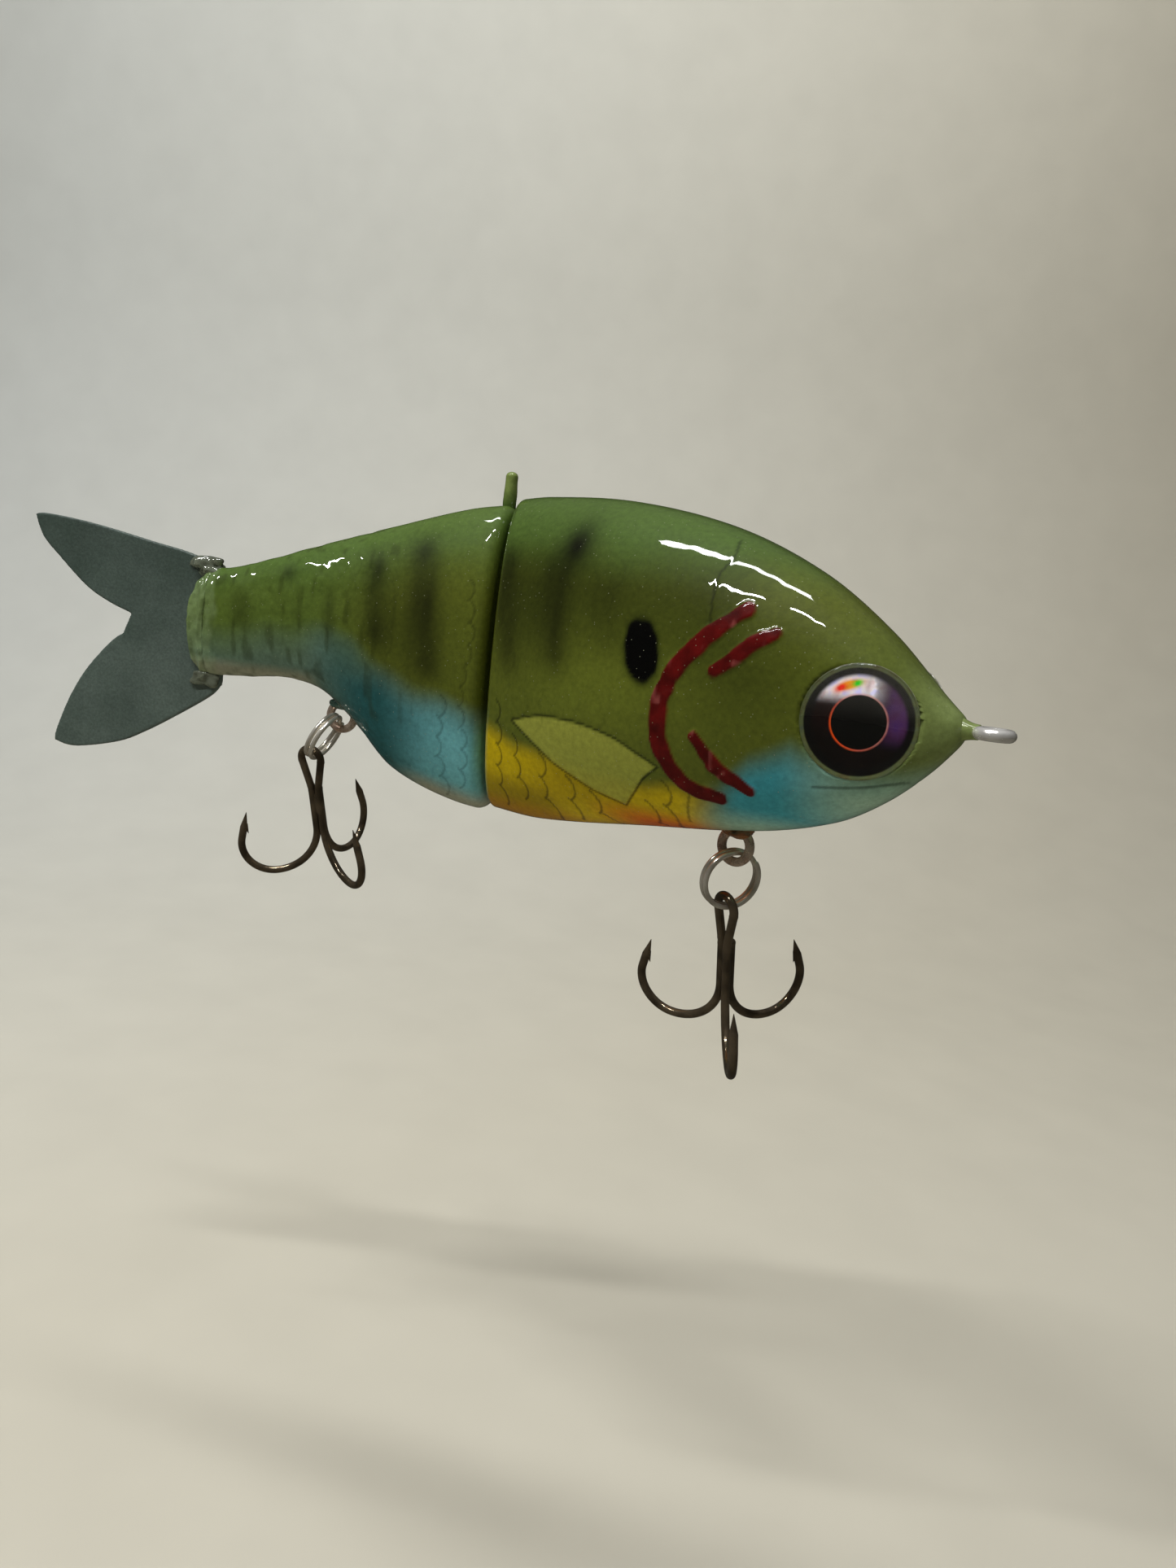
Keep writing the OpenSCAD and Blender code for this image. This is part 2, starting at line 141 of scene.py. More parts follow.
def rear_rings(t, a, swell=0.0):
    edge_in = drawn_in(t * REAR_LENGTH, EDGE_ROUND)
    end_in = drawn_in((1 - t) * REAR_LENGTH, 5)
    side_in = drawn_in((1 - t) * REAR_LENGTH, 1.2)
    return section(REAR_FRONT - t * REAR_LENGTH,
                   BACK_HEIGHT * curve(REAR_BACK, t) - edge_in - end_in + swell,
                   -BELLY_DEPTH * curve(REAR_BELLY, t) + edge_in + end_in - swell,
                   HALF_WIDTH * curve(REAR_HALF, t) - edge_in - side_in + swell,
                   np.zeros_like(t), a)


def stations(start, end, step, round_start=0.0, round_end=0.0, rows=9):
    """Shares from start to end, with extra rows through a rounded end."""
    t = list(np.arange(start, end, step)) + [end]
    quarter = 1 - np.cos(np.linspace(0, math.pi / 2, rows))
    if round_start:
        t = [v for v in t if v > start + round_start] + list(start + round_start * quarter)
    if round_end:
        t = [v for v in t if v < end - round_end] + list(end - round_end * quarter)
    return np.array(sorted(set(np.round(t, 7))))


class Shell:
    """Points and quads of a lofted shell, gathered grid by grid."""

    def __init__(self):
        self.points = []
        self.faces = []
        self.count = 0

    def grid(self, rows, closed):
        n_row, n_col = rows.shape[:2]
        index = self.count + np.arange(n_row * n_col).reshape(n_row, n_col)
        right = np.roll(index, -1, axis=1) if closed else index[:, 1:]
        left = index if closed else index[:, :-1]
        quads = np.stack([left[:-1], right[:-1], right[1:], left[1:]], axis=2)
        self.faces.append(quads.reshape(-1, 4))
        self.points.append(rows.reshape(-1, 3))
        self.count += n_row * n_col

    def cap(self, ring, lean, columns=48):
        """Closes an end with rows that run straight across from flank to flank."""
        n = len(ring)
        top = n // 4
        left = np.array([ring[(top + k) % n] for k in range(n // 2 + 1)])
        right = np.array([ring[(top - k) % n] for k in range(n // 2 + 1)])
        spread = np.linspace(-1, 1, columns)[None, :, None]
        middle = (left + right) / 2
        middle[:, 0] -= lean * np.abs(left[:, 1])
        half = np.abs(left[:, 1])[:, None]
        rows = np.repeat(middle[:, None], columns, axis=1)
        rows[:, :, 1] = spread[:, :, 0] * half
        rows[:, :, 0] += lean * np.abs(rows[:, :, 1])
        self.grid(rows, closed=False)

    def build(self, name, merge=2e-6):
        points = np.concatenate(self.points) * MM
        mesh = bpy.data.meshes.new(name)
        mesh.from_pydata(points.tolist(), [], np.concatenate(self.faces).tolist())
        mesh.update()
        return finish_mesh(name, mesh, merge)


def finish_mesh(name, mesh, merge=0.0):
    """Welds, makes normals consistent, shades smooth and links the object."""
    work = bmesh.new()
    work.from_mesh(mesh)
    if merge:
        bmesh.ops.remove_doubles(work, verts=work.verts, dist=merge)
        bmesh.ops.dissolve_degenerate(work, edges=work.edges, dist=1e-8)
    bmesh.ops.recalc_face_normals(work, faces=work.faces)
    work.to_mesh(mesh)
    work.free()
    mesh.shade_smooth()
    obj = bpy.data.objects.new(name, mesh)
    bpy.context.scene.collection.objects.link(obj)
    return obj


def positions(obj):
    co = np.empty(len(obj.data.vertices) * 3)
    obj.data.vertices.foreach_get("co", co)
    return co.reshape(-1, 3) / MM


def normals(obj):
    no = np.empty(len(obj.data.vertices) * 3)
    obj.data.vertices.foreach_get("normal", no)
    return no.reshape(-1, 3)


def set_positions(obj, points):
    obj.data.vertices.foreach_set("co", (points * MM).ravel())
    obj.data.update()


def swing(obj):
    """Turns a piece drawn behind the front section to the resting bend."""
    pivot = Matrix.Translation((PIN_X * MM, 0, 0))
    obj.data.transform(pivot @ Matrix.Rotation(REST_BEND, 4, "Z") @ pivot.inverted())
    obj.data.update()


def smoothstep(low, high, v):
    u = np.clip((v - low) / (high - low), 0, 1)
    return u * u * (3 - 2 * u)


def spline(points, steps=10):
    """Points of a smooth line through the given ones."""
    p = np.array(points, float)
    out = []
    for i in range(len(p) - 1):
        a, b, c, d = p[max(i - 1, 0)], p[i], p[i + 1], p[min(i + 2, len(p) - 1)]
        for u in np.arange(steps) / steps:
            out.append(b + 0.5 * u * (c - a) + u**2 * (a - 2.5 * b + 2 * c - 0.5 * d)
                       + 0.5 * u**3 * (3 * (b - c) + d - a))
    out.append(p[-1])
    return np.array(out)


def line_distance(xz, line):
    """Distance of each point to a polyline, and how far along it the nearest place is."""
    best = np.full(len(xz), 1e9)
    along = np.zeros(len(xz))
    for i in range(len(line) - 1):
        a, d = line[i], line[i + 1] - line[i]
        u = np.clip(((xz - a) @ d) / max(d @ d, 1e-9), 0, 1)
        dist = np.hypot(*(xz - a - u[:, None] * d).T)
        near = dist < best
        best[near] = dist[near]
        along[near] = (i + u[near]) / (len(line) - 1)
    return best, along


# ---------------------------------------------------------------- noise for paint and lumps

def value_noise(points, scale, seed):
    """Smooth noise from 0 to 1, the same on every run."""
    q = points / scale
    base = np.floor(q).astype(np.int64)
    f = q - base
    f = f * f * (3 - 2 * f)
    total = np.zeros(len(q))
    for dx in (0, 1):
        for dy in (0, 1):
            for dz in (0, 1):
                c = base + (dx, dy, dz)
                h = (c[:, 0] * 374761393 + c[:, 1] * 668265263 + c[:, 2] * 2147483647
                     + seed * 97531) & 0xFFFFFFFF
                h = ((h ^ (h >> 13)) * 1274126177) & 0xFFFFFFFF
                weight = (np.where(dx, f[:, 0], 1 - f[:, 0]) * np.where(dy, f[:, 1], 1 - f[:, 1])
                          * np.where(dz, f[:, 2], 1 - f[:, 2]))
                total += weight * ((h ^ (h >> 16)) & 0xFFFF) / 65535
    return total


# ---------------------------------------------------------------- paint

def colour(r, g, b):
    """Linear colour from an sRGB one."""
    return np.array([((v / 255 + 0.055) / 1.055)**2.4 if v > 10 else v / 255 / 12.92 for v in (r, g, b)])


OLIVE = colour(88, 96, 30)
OLIVE_DARK = colour(38, 44, 10)
BACK_GREEN = colour(76, 100, 42)
HEAD_GREEN = colour(88, 100, 40)
YELLOW_OLIVE = colour(108, 118, 38)
GOLD = colour(198, 172, 0)
AMBER = colour(138, 118, 4)
ORANGE = colour(204, 86, 0)
TEAL = colour(58, 148, 162)
DEEP_TEAL = colour(30, 82, 84)
SKY = colour(116, 184, 190)
MIST = colour(172, 194, 158)
GREY_TEAL = colour(96, 120, 108)
TAN = colour(150, 146, 122)
LEAF = colour(156, 160, 66)
MILKY = colour(128, 148, 104)
CRIMSON = colour(92, 12, 10)
INK = colour(14, 15, 4)


def mix(base, tint, amount):
    return base + (tint - base) * np.clip(amount, 0, 1)[:, None]


FIN_TOP = [(-65.4, -7.8), (-59.8, -6.4), (-52.7, -6.2), (-46.2, -7.2), (-42.2, -8.7), (-38.7, -10.1)]
FIN_LOW = [(-38.7, -10.1), (-41.4, -12.3), (-43, -14.3), (-45.2, -16.7), (-50.1, -15.5), (-56.9, -12.8),
           (-65.4, -7.8)]
GILL_MAIN = [(-28.7, 11), (-31.9, 8.4), (-34.7, 5.4), (-37.2, 2), (-38.5, -1.3), (-38.7, -5), (-37.7, -8),
             (-36, -10.4), (-33.2, -12.1), (-29.8, -12.5)]
GILL_UPPER = [(-24.4, 8.6), (-26.8, 7), (-29, 5), (-31.2, 3.2)]
GILL_LOWER = [(-33.1, -5.2), (-31.3, -7.2), (-29.4, -9), (-27.2, -9.9), (-25.7, -10.9)]
GILL_CREASE_TOP = [(-34.1, 19.7), (-33.1, 17.4), (-33.8, 14.7), (-33, 9.1)]
GILL_CREASE_LOW = [(-34.2, -12.8), (-35.1, -15), (-35.9, -17.2)]
MOUTH = [(-17.7, -9), (-12.9, -8.3), (-8.6, -7.1)]
EAR_SPOT = (-42.3, 4.6)


def bar(x, z, top, low, width, soft=2.5):
    """Soft airbrushed bar between two points, 1 along its middle."""
    share = (z - low[1]) / (top[1] - low[1])
    centre = low[0] + (top[0] - low[0]) * share
    across = np.exp(-((x - centre) / width)**2)
    return across * smoothstep(low[1] - soft, low[1] + soft, z) * smoothstep(top[1] + soft, top[1] - soft, z)


def spot(x, z, at, rx, rz):
    """Soft round spot, 1 at its middle."""
    return np.exp(-((x - at[0]) / rx)**2 - ((z - at[1]) / rz)**2)


def below(line, x, z, soft):
    """1 under a line given as (x, z) points in rising x, 0 above it."""
    edge = np.interp(x, [q[0] for q in line], [q[1] for q in line])
    return smoothstep(edge + soft, edge - soft, z)


def scallops(xz, x_line, z_from, z_to, radius, face):
    """Distance to a row of scale edges down a section's end, bulging toward face (+1 forward)."""
    best = np.full(len(xz), 1e9)
    for z in np.arange(z_from, z_to, -1.8 * radius):
        cx = x_line + 0.5 * math.sin(2.3 * z)
        d = np.hypot(xz[:, 0] - cx, xz[:, 1] - z)
        angle = np.arctan2(xz[:, 1] - z, face * (xz[:, 0] - cx))
        arc = np.where(np.abs(angle) < 1.2, np.abs(d - radius), 1e9)
        best = np.minimum(best, arc)
    return best


def front_paint(p):
    """Colour and relief of the front section's skin."""
    x, z = p[:, 0], p[:, 2]
    xz = p[:, [0, 2]]
    wash = value_noise(p, 6.0, 1)
    fine = value_noise(p, 1.3, 2)
    streak = value_noise(p * (1, 1, 0.3), 2.2, 6)
    c = np.repeat(OLIVE[None], len(p), axis=0)
    c = mix(c, YELLOW_OLIVE, 0.55 * spot(x, z, (-52, -1), 12, 7) * (0.6 + 0.8 * wash))
    c = mix(c, OLIVE_DARK, 0.62 * smoothstep(0, 13, z + 2 * wash) * smoothstep(-24, -34, x))
    c = mix(c, OLIVE_DARK, 0.5 * spot(x, z, (-27, 4), 8, 8))
    c = mix(c, HEAD_GREEN, 0.8 * smoothstep(-22, -8, x))
    c = mix(c, BACK_GREEN, 0.9 * smoothstep(13, 21, z + 2 * wash))
    gold_line = [(-78, -9), (-68, -10.2), (-60, -12.6), (-50, -14), (-39, -12.8), (-30, -12.6)]
    gold = below(gold_line, x, z + 1.6 * (wash - 0.5), 1.7) * smoothstep(-27, -37, x)
    c = mix(c, GOLD, gold)
    c = mix(c, AMBER, 0.6 * gold * spot(x, z, (-53, -14), 8, 4))
    c = mix(c, AMBER, 0.75 * gold * smoothstep(-15, -19, z) * smoothstep(-54, -62, x))
    c = mix(c, ORANGE, gold * np.maximum(0.95 * smoothstep(-15.5, -19, z) * smoothstep(-54, -42, x),
                                         0.3 * smoothstep(-19, -22.5, z)))
    teal_line = [(-34, -15), (-30, -13), (-25.5, -7.8), (-20.5, -5.4), (-15, -7.6), (-3, -6.5)]
    teal = below(teal_line, x, z + 2.4 * (wash - 0.5), 3.0)
    c = mix(c, TEAL, 0.95 * teal * smoothstep(-37, -26, x))
    pale = np.maximum(smoothstep(-23, -12, x), smoothstep(-13, -17, z))
    c = mix(c, MIST, 0.7 * teal * smoothstep(-37, -26, x) * pale)
    c = mix(c, colour(132, 148, 92), 0.55 * smoothstep(-12, -4, x))
    c = mix(c, OLIVE_DARK, 0.55 * spot(x, z, (-63, 8), 9, 9))
    c = mix(c, INK, 0.62 * bar(x, z, (-60, 16), (-57, 0), 2.8) * (0.6 + 0.7 * streak))
    c = mix(c, INK, 0.60 * bar(x, z, (-70.5, 17), (-66.6, -1), 2.3) * (0.6 + 0.7 * streak))
    c = mix(c, INK, 0.30 * bar(x, z, (-50, 14), (-48, 4), 3.2) * (0.6 + 0.7 * streak))
    c = mix(c, INK, 0.96 * spot(x, z, (-57.2, 17.4), 2.9, 3.5))
    lean = x + 0.16 * (z - EAR_SPOT[1])
    ear = np.hypot((lean - EAR_SPOT[0]) / 2.75, (z - EAR_SPOT[1]) / 4.2) + 0.16 * (fine - 0.5)
    c = mix(c, OLIVE_DARK, 0.7 * smoothstep(1.35, 0.9, ear))
    c = mix(c, colour(3, 3, 2), smoothstep(1.08, 0.88, ear))
    fin_top, fin_low = spline(FIN_TOP), np.array(FIN_LOW)
    c = mix(c, LEAF, 0.8 * leaf_mask(xz, fin_top, fin_low))
    etched = np.minimum(line_distance(xz, fin_top)[0], line_distance(xz, fin_low)[0])
    edges = np.minimum(scallops(xz, -69.8, -7, -21, 1.8, 1), scallops(xz, -65.4, -11.5, -21, 1.8, 1))
    for cx, cz in ((-60.6, -13.5), (-56, -16), (-51.4, -17.4), (-42, -17), (-39.2, -13.6)):
        edges = np.minimum(edges, scallops(xz, cx, cz, -21, 1.9, 1))
    faint = np.full(len(p), 1e9)
    for k in range(7):
        faint = np.minimum(faint, scallops(xz, -71.5 + 3.6 * k, 14 - 1.8 * (k % 2), -7, 2.1, 1))
    crease = np.full(len(p), 1e9)
    for line in (GILL_CREASE_TOP, GILL_CREASE_LOW, MOUTH):
        crease = np.minimum(crease, line_distance(xz, spline(line))[0])
    gill = np.zeros(len(p))
    for line, width in ((GILL_MAIN, 1.55), (GILL_UPPER, 1.2), (GILL_LOWER, 1.2)):
        dist, along = line_distance(xz, spline(line))
        taper = width * (0.62 + 0.38 * np.sin(math.pi * np.clip(along, 0.06, 0.94))**0.6)
        edge = taper * (0.86 + 0.34 * (fine - 0.5))
        gill = np.maximum(gill, smoothstep(edge + 0.12, edge - 0.14, dist))
    c = mix(c, INK, 0.16 * smoothstep(0.28, 0.08, faint) * smoothstep(0.3, 0.7, wash))
    c = mix(c, INK, 0.62 * smoothstep(0.24, 0.08, edges))
    c = mix(c, INK, 0.72 * smoothstep(0.22, 0.08, etched))
    c = mix(c, INK, 0.55 * smoothstep(0.26, 0.08, crease))
    scuff = value_noise(p * (1, 1, 0.6), 0.9, 14)
    mark = mix(CRIMSON * (0.45 + 0.75 * fine[:, None]), colour(140, 70, 66),
               0.7 * smoothstep(0.74, 0.9, scuff))
    c = mix(c, mark, gill)
    relief = (0.2 * gill * (0.7 + 0.6 * fine) - 0.05 * smoothstep(0.3, 0.08, np.minimum(etched, edges))
              - 0.03 * smoothstep(0.4, 0.05, crease))
    return c, relief


def leaf_mask(xz, top, low):
    """1 inside the leaf between two lines that meet at both ends."""
    upper = np.interp(xz[:, 0], top[:, 0], top[:, 1])
    order = np.argsort(low[:, 0])
    lower = np.interp(xz[:, 0], low[order, 0], low[order, 1])
    inside = (xz[:, 0] > top[0, 0]) & (xz[:, 0] < top[-1, 0])
    return inside * smoothstep(0, 0.5, upper - xz[:, 1]) * smoothstep(0, 0.5, xz[:, 1] - lower)


def rear_paint(p):
    """Colour and relief of the rear section's skin, before it is swung."""
    x, z = p[:, 0], p[:, 2]
    xz = p[:, [0, 2]]
    wash = value_noise(p, 6.0, 4)
    streak = value_noise(p * (1, 1, 0.3), 2.0, 3)
    back = 23.6 + 0.27 * (x + 79)
    c = np.repeat(OLIVE[None], len(p), axis=0)
    c = mix(c, BACK_GREEN, 0.9 * smoothstep(0.35, 0.9, z / back + 0.15 * (wash - 0.5)))
    c = mix(c, OLIVE_DARK, 0.16 * smoothstep(18, 8, z))
    c = mix(c, BACK_GREEN, 0.6 * smoothstep(-93, -112, x))
    blue_line = [(-136, -4.2), (-127, -4.0), (-116, -1.6), (-108, -0.6), (-102, -2.6), (-90.4, -7.7),
                 (-78.7, -12)]
    blue = below(blue_line, x, z + 3.4 * (wash - 0.5), 4.2)
    c = mix(c, GREY_TEAL, 0.85 * blue)
    c = mix(c, DEEP_TEAL, 0.95 * blue * smoothstep(-114, -99, x))
    c = mix(c, SKY, blue * smoothstep(-97, -82, x) * (0.7 + 0.3 * wash))
    belly = -(24.7 - 0.25 * np.clip(-79 - x, 0, 22) ** 0.9)
    c = mix(c, TAN, 0.9 * smoothstep(4.2, 0.8, z - belly) * smoothstep(-96, -88, x))
    c = mix(c, TAN, 0.7 * smoothstep(-5.2, -7.4, z) * smoothstep(-108, -113, x))
    c = mix(c, OLIVE_DARK, 0.45 * spot(x, z, (-94, 3), 7, 8))
    c = mix(c, INK, 0.78 * bar(x, z, (-91, 17), (-87.9, -4), 2.8) * (0.6 + 0.7 * streak))
    c = mix(c, INK, 0.68 * bar(x, z, (-99.2, 14), (-97, 0), 2.2) * (0.6 + 0.7 * streak))
    c = mix(c, INK, 0.42 * bar(x, z, (-107, 7.5), (-106, -0.5), 1.1) * (0.6 + 0.7 * streak))
    c = mix(c, INK, 0.55 * spot(x, z, (-115.5, 9.6), 1.6, 1.5))
    c = mix(c, OLIVE_DARK, 0.5 * bar(x, z, (-124.5, 6), (-124, 0), 2.2))
    grime = value_noise(p * (1, 1, 0.3), 1.1, 17)
    c = mix(c, OLIVE_DARK, 0.4 * smoothstep(0.62, 0.86, grime) * smoothstep(-86, -98, x))
    rows = np.minimum(scallops(xz, -82.6, 10, -22, 1.8, 1), scallops(xz, -86.2, -8, -21, 1.8, 1))
    c = mix(c, INK, 0.36 * smoothstep(0.26, 0.08, rows))
    faint = np.full(len(p), 1e9)
    for k in range(5):
        faint = np.minimum(faint, scallops(xz, -89.8 - 3.6 * k, 12 - 1.8 * (k % 2), -9, 2.1, 1))
    c = mix(c, INK, 0.14 * smoothstep(0.28, 0.08, faint) * smoothstep(0.3, 0.7, wash))
    dents = value_noise(p, 3.2, 18) + 0.5 * value_noise(p, 1.3, 19) - 0.75
    smear = smoothstep(4.6, 3.0, x - COLLAR_X + 3.6 * value_noise(p, 1.9, 20))
    c = mix(c, MILKY, 0.30 * smear * (0.5 + value_noise(p, 1.0, 21)))
    relief = 0.22 * dents * smoothstep(-92, -104, x) + 0.14 * smear * (0.4 + value_noise(p, 1.2, 22))
    return c, relief - 0.04 * smoothstep(0.3, 0.08, rows)


def apply_paint(obj, paint):
    points = positions(obj)
    c, relief = paint(points)
    attribute = obj.data.color_attributes.new("paint", "FLOAT_COLOR", "POINT")
    rgba = np.concatenate([np.clip(c, 0, 1), np.ones((len(c), 1))], axis=1)
    attribute.data.foreach_set("color", rgba.ravel())
    set_positions(obj, points + normals(obj) * relief[:, None])


# ---------------------------------------------------------------- materials

def new_material(name):
    material = bpy.data.materials.new(name)
    material.use_nodes = True
    return material, material.node_tree, material.node_tree.nodes["Principled BSDF"]


def object_coordinates(tree):
    return tree.nodes.new("ShaderNodeTexCoord").outputs["Object"]


def noise(tree, vector, scale, detail=3.0, roughness=0.5):
    node = tree.nodes.new("ShaderNodeTexNoise")
    node.inputs["Scale"].default_value = scale
    node.inputs["Detail"].default_value = detail
    node.inputs["Roughness"].default_value = roughness
    tree.links.new(vector, node.inputs["Vector"])
    return node.outputs["Fac"]


def cells(tree, vector, scale, output="Distance"):
    node = tree.nodes.new("ShaderNodeTexVoronoi")
    node.inputs["Scale"].default_value = scale
    tree.links.new(vector, node.inputs["Vector"])
    return node.outputs[output]


def ramp(tree, value, stops):
    node = tree.nodes.new("ShaderNodeValToRGB")
    elements = node.color_ramp.elements
    elements[0].position, elements[0].color = stops[0][0], (*stops[0][1], 1)
    elements[1].position, elements[1].color = stops[-1][0], (*stops[-1][1], 1)
    for place, shade in stops[1:-1]:
        elements.new(place).color = (*shade, 1)
    tree.links.new(value, node.inputs["Fac"])
    return node.outputs["Color"]


def blend_colours(tree, factor, a, b, kind="MIX"):
    node = tree.nodes.new("ShaderNodeMix")
    node.data_type = "RGBA"
    node.blend_type = kind
    for value, socket in ((factor, node.inputs["Factor"]), (a, node.inputs["A"]), (b, node.inputs["B"])):
        if hasattr(value, "node"):
            tree.links.new(value, socket)
        elif isinstance(value, (int, float)):
            socket.default_value = value
        else:
            socket.default_value = (*value, 1)
    return node.outputs["Result"]


def bump(tree, height, strength, distance):
    node = tree.nodes.new("ShaderNodeBump")
    node.inputs["Strength"].default_value = strength
    node.inputs["Distance"].default_value = distance
    tree.links.new(height, node.inputs["Height"])
    return node.outputs["Normal"]


def painted_skin(name, lumps):
    """Airbrushed colour with fine pearl dust under a thick, slightly wavy clear coat."""
    material, tree, shader = new_material(name)
    place = object_coordinates(tree)
    paint = tree.nodes.new("ShaderNodeVertexColor")
    paint.layer_name = "paint"
    mottle = ramp(tree, noise(tree, place, 1300, 4, 0.65),
                  [(0.32, (0.84, 0.84, 0.84)), (0.68, (1.12, 1.12, 1.12))])
    grained = blend_colours(tree, 1.0, paint.outputs["Color"], mottle, "MULTIPLY")
    dust = ramp(tree, cells(tree, place, 1100), [(0.05, (0.5, 0.5, 0.5)), (0.10, (0, 0, 0))])
    shade = blend_colours(tree, dust, grained, (0.36, 0.38, 0.24))
    tree.links.new(shade, shader.inputs["Base Color"])
    shader.inputs["Metallic"].default_value = 0.0
    shader.inputs["Specular IOR Level"].default_value = 0.05
    shader.inputs["Roughness"].default_value = 0.45
    shader.inputs["Coat Weight"].default_value = 1.0
    shader.inputs["Coat Roughness"].default_value = 0.02
    shader.inputs["Coat IOR"].default_value = 1.42
    tree.links.new(bump(tree, noise(tree, place, 900, 2), 0.2, 0.0003), shader.inputs["Normal"])
    tree.links.new(bump(tree, noise(tree, place, 130, 2), lumps, 0.0008), shader.inputs["Coat Normal"])
    return material


def metal(name, tint, dark, roughness, shine=1.0, grain=1500):
    """Drawn or plated wire with faint tarnish and fine scratches. A dull film lowers shine."""
    material, tree, shader = new_material(name)
    place = object_coordinates(tree)
    patches = noise(tree, place, 260, 3)
    tree.links.new(ramp(tree, patches, [(0.38, dark), (0.62, tint)]), shader.inputs["Base Color"])
    shader.inputs["Metallic"].default_value = shine
    wear = ramp(tree, noise(tree, place, grain, 2),
                [(0.3, (roughness * 0.7,) * 3), (0.75, (roughness * 1.5,) * 3)])
    tree.links.new(wear, shader.inputs["Roughness"])
    tree.links.new(bump(tree, noise(tree, place, grain, 2), 0.05, 0.0002), shader.inputs["Normal"])
    return material


def epoxy(name, tint, deep, roughness=0.06, transmission=0.35):
    """Glossy cured epoxy with colour that pools unevenly."""
    material, tree, shader = new_material(name)
    place = object_coordinates(tree)
    pooled = ramp(tree, noise(tree, place, 380, 3), [(0.35, deep), (0.68, tint)])
    tree.links.new(pooled, shader.inputs["Base Color"])
    shader.inputs["Roughness"].default_value = roughness
    shader.inputs["IOR"].default_value = 1.52
    shader.inputs["Transmission Weight"].default_value = transmission
    shader.inputs["Coat Weight"].default_value = 1.0
    shader.inputs["Coat Roughness"].default_value = 0.03
    tree.links.new(bump(tree, noise(tree, place, 320, 2), 0.3, 0.0006), shader.inputs["Normal"])
    return material


def tail_sheet_material():
    """Semi-matte moulded sheet, grey-green, with a fine grain and faint cloudy wear."""
    material, tree, shader = new_material("tail_sheet")
    place = object_coordinates(tree)
    cloud = ramp(tree, noise(tree, place, 90, 4, 0.6),
                 [(0.3, (0.052, 0.074, 0.061)), (0.7, (0.080, 0.108, 0.091))])
    split = tree.nodes.new("ShaderNodeSeparateXYZ")
    tree.links.new(place, split.inputs["Vector"])
    span = tree.nodes.new("ShaderNodeMapRange")
    span.inputs["From Min"].default_value = -0.014
    span.inputs["From Max"].default_value = 0.014
    tree.links.new(split.outputs["Z"], span.inputs["Value"])
    fade = ramp(tree, span.outputs["Result"], [(0.0, (1.28, 1.28, 1.28)), (1.0, (0.80, 0.86, 0.84))])
    cloud = blend_colours(tree, 1.0, cloud, fade, "MULTIPLY")
    grit = ramp(tree, noise(tree, place, 2400, 2), [(0.35, (0.85, 0.85, 0.85)), (0.7, (1.15, 1.15, 1.15))])
    tree.links.new(blend_colours(tree, 1.0, cloud, grit, "MULTIPLY"), shader.inputs["Base Color"])
    wear = ramp(tree, noise(tree, place, 140, 3), [(0.3, (0.42,) * 3), (0.7, (0.58,) * 3)])
    tree.links.new(wear, shader.inputs["Roughness"])
    tree.links.new(bump(tree, noise(tree, place, 1800, 3), 0.25, 0.0002), shader.inputs["Normal"])
    return material


def foil_material():
    """Holographic foil: the painted pupil and rings over small facets of shifting colour."""
    material, tree, shader = new_material("holographic_foil")
    place = object_coordinates(tree)
    paint = tree.nodes.new("ShaderNodeVertexColor")
    paint.layer_name = "paint"
    hue = ramp(tree, noise(tree, place, 900, 2, 0.5),
               [(0.3, (0.75, 0.35, 0.40)), (0.5, (1.0, 0.9, 0.95)), (0.7, (0.62, 0.55, 1.25))])
    shade = blend_colours(tree, 0.6, paint.outputs["Color"],
                          blend_colours(tree, 1.0, paint.outputs["Color"], hue, "MULTIPLY"))
    tree.links.new(shade, shader.inputs["Base Color"])
    shader.inputs["Metallic"].default_value = 0.2
    shader.inputs["Specular IOR Level"].default_value = 0.1
    shader.inputs["Roughness"].default_value = 0.3
    return material


def lens_material():
    material, tree, shader = new_material("clear_lens")
    place = object_coordinates(tree)
    shader.inputs["Base Color"].default_value = (0.97, 0.98, 0.99, 1)
    shader.inputs["Roughness"].default_value = 0.0
    shader.inputs["IOR"].default_value = 1.49
    shader.inputs["Specular IOR Level"].default_value = 0.35
    shader.inputs["Transmission Weight"].default_value = 1.0
    tree.links.new(bump(tree, noise(tree, place, 200, 2), 0.06, 0.0003), shader.inputs["Normal"])
    return material


def lead_material():
    return metal("dull_lead", (0.22, 0.23, 0.25), (0.12, 0.125, 0.13), 0.5)


SKIN = painted_skin("airbrushed_clear_coat", 0.22)
COLLAR_SKIN = painted_skin("painted_epoxy_collar", 0.6)
BRIGHT_WIRE = metal("bright_stainless", (0.88, 0.86, 0.82), (0.62, 0.60, 0.56), 0.2, 0.6)
COPPERY_WIRE = metal("stained_stainless", (0.62, 0.50, 0.40), (0.38, 0.22, 0.15), 0.25, 0.6)
NICKEL = metal("warm_nickel", (0.95, 0.89, 0.77), (0.66, 0.60, 0.50), 0.15, 0.72)
BLACK_NICKEL = metal("black_nickel", (0.24, 0.185, 0.12), (0.10, 0.078, 0.05), 0.13, 0.75)
OLIVE_EPOXY = epoxy("olive_epoxy", (0.34, 0.38, 0.28), (0.18, 0.20, 0.14), 0.05, 0.55)
AMBER_EPOXY = epoxy("amber_epoxy", (0.32, 0.13, 0.05), (0.12, 0.07, 0.03))
TEAL_EPOXY = epoxy("teal_epoxy", (0.07, 0.16, 0.13), (0.03, 0.07, 0.05))
TAIL = tail_sheet_material()
FOIL = foil_material()
LENS = lens_material()
LEAD = lead_material()


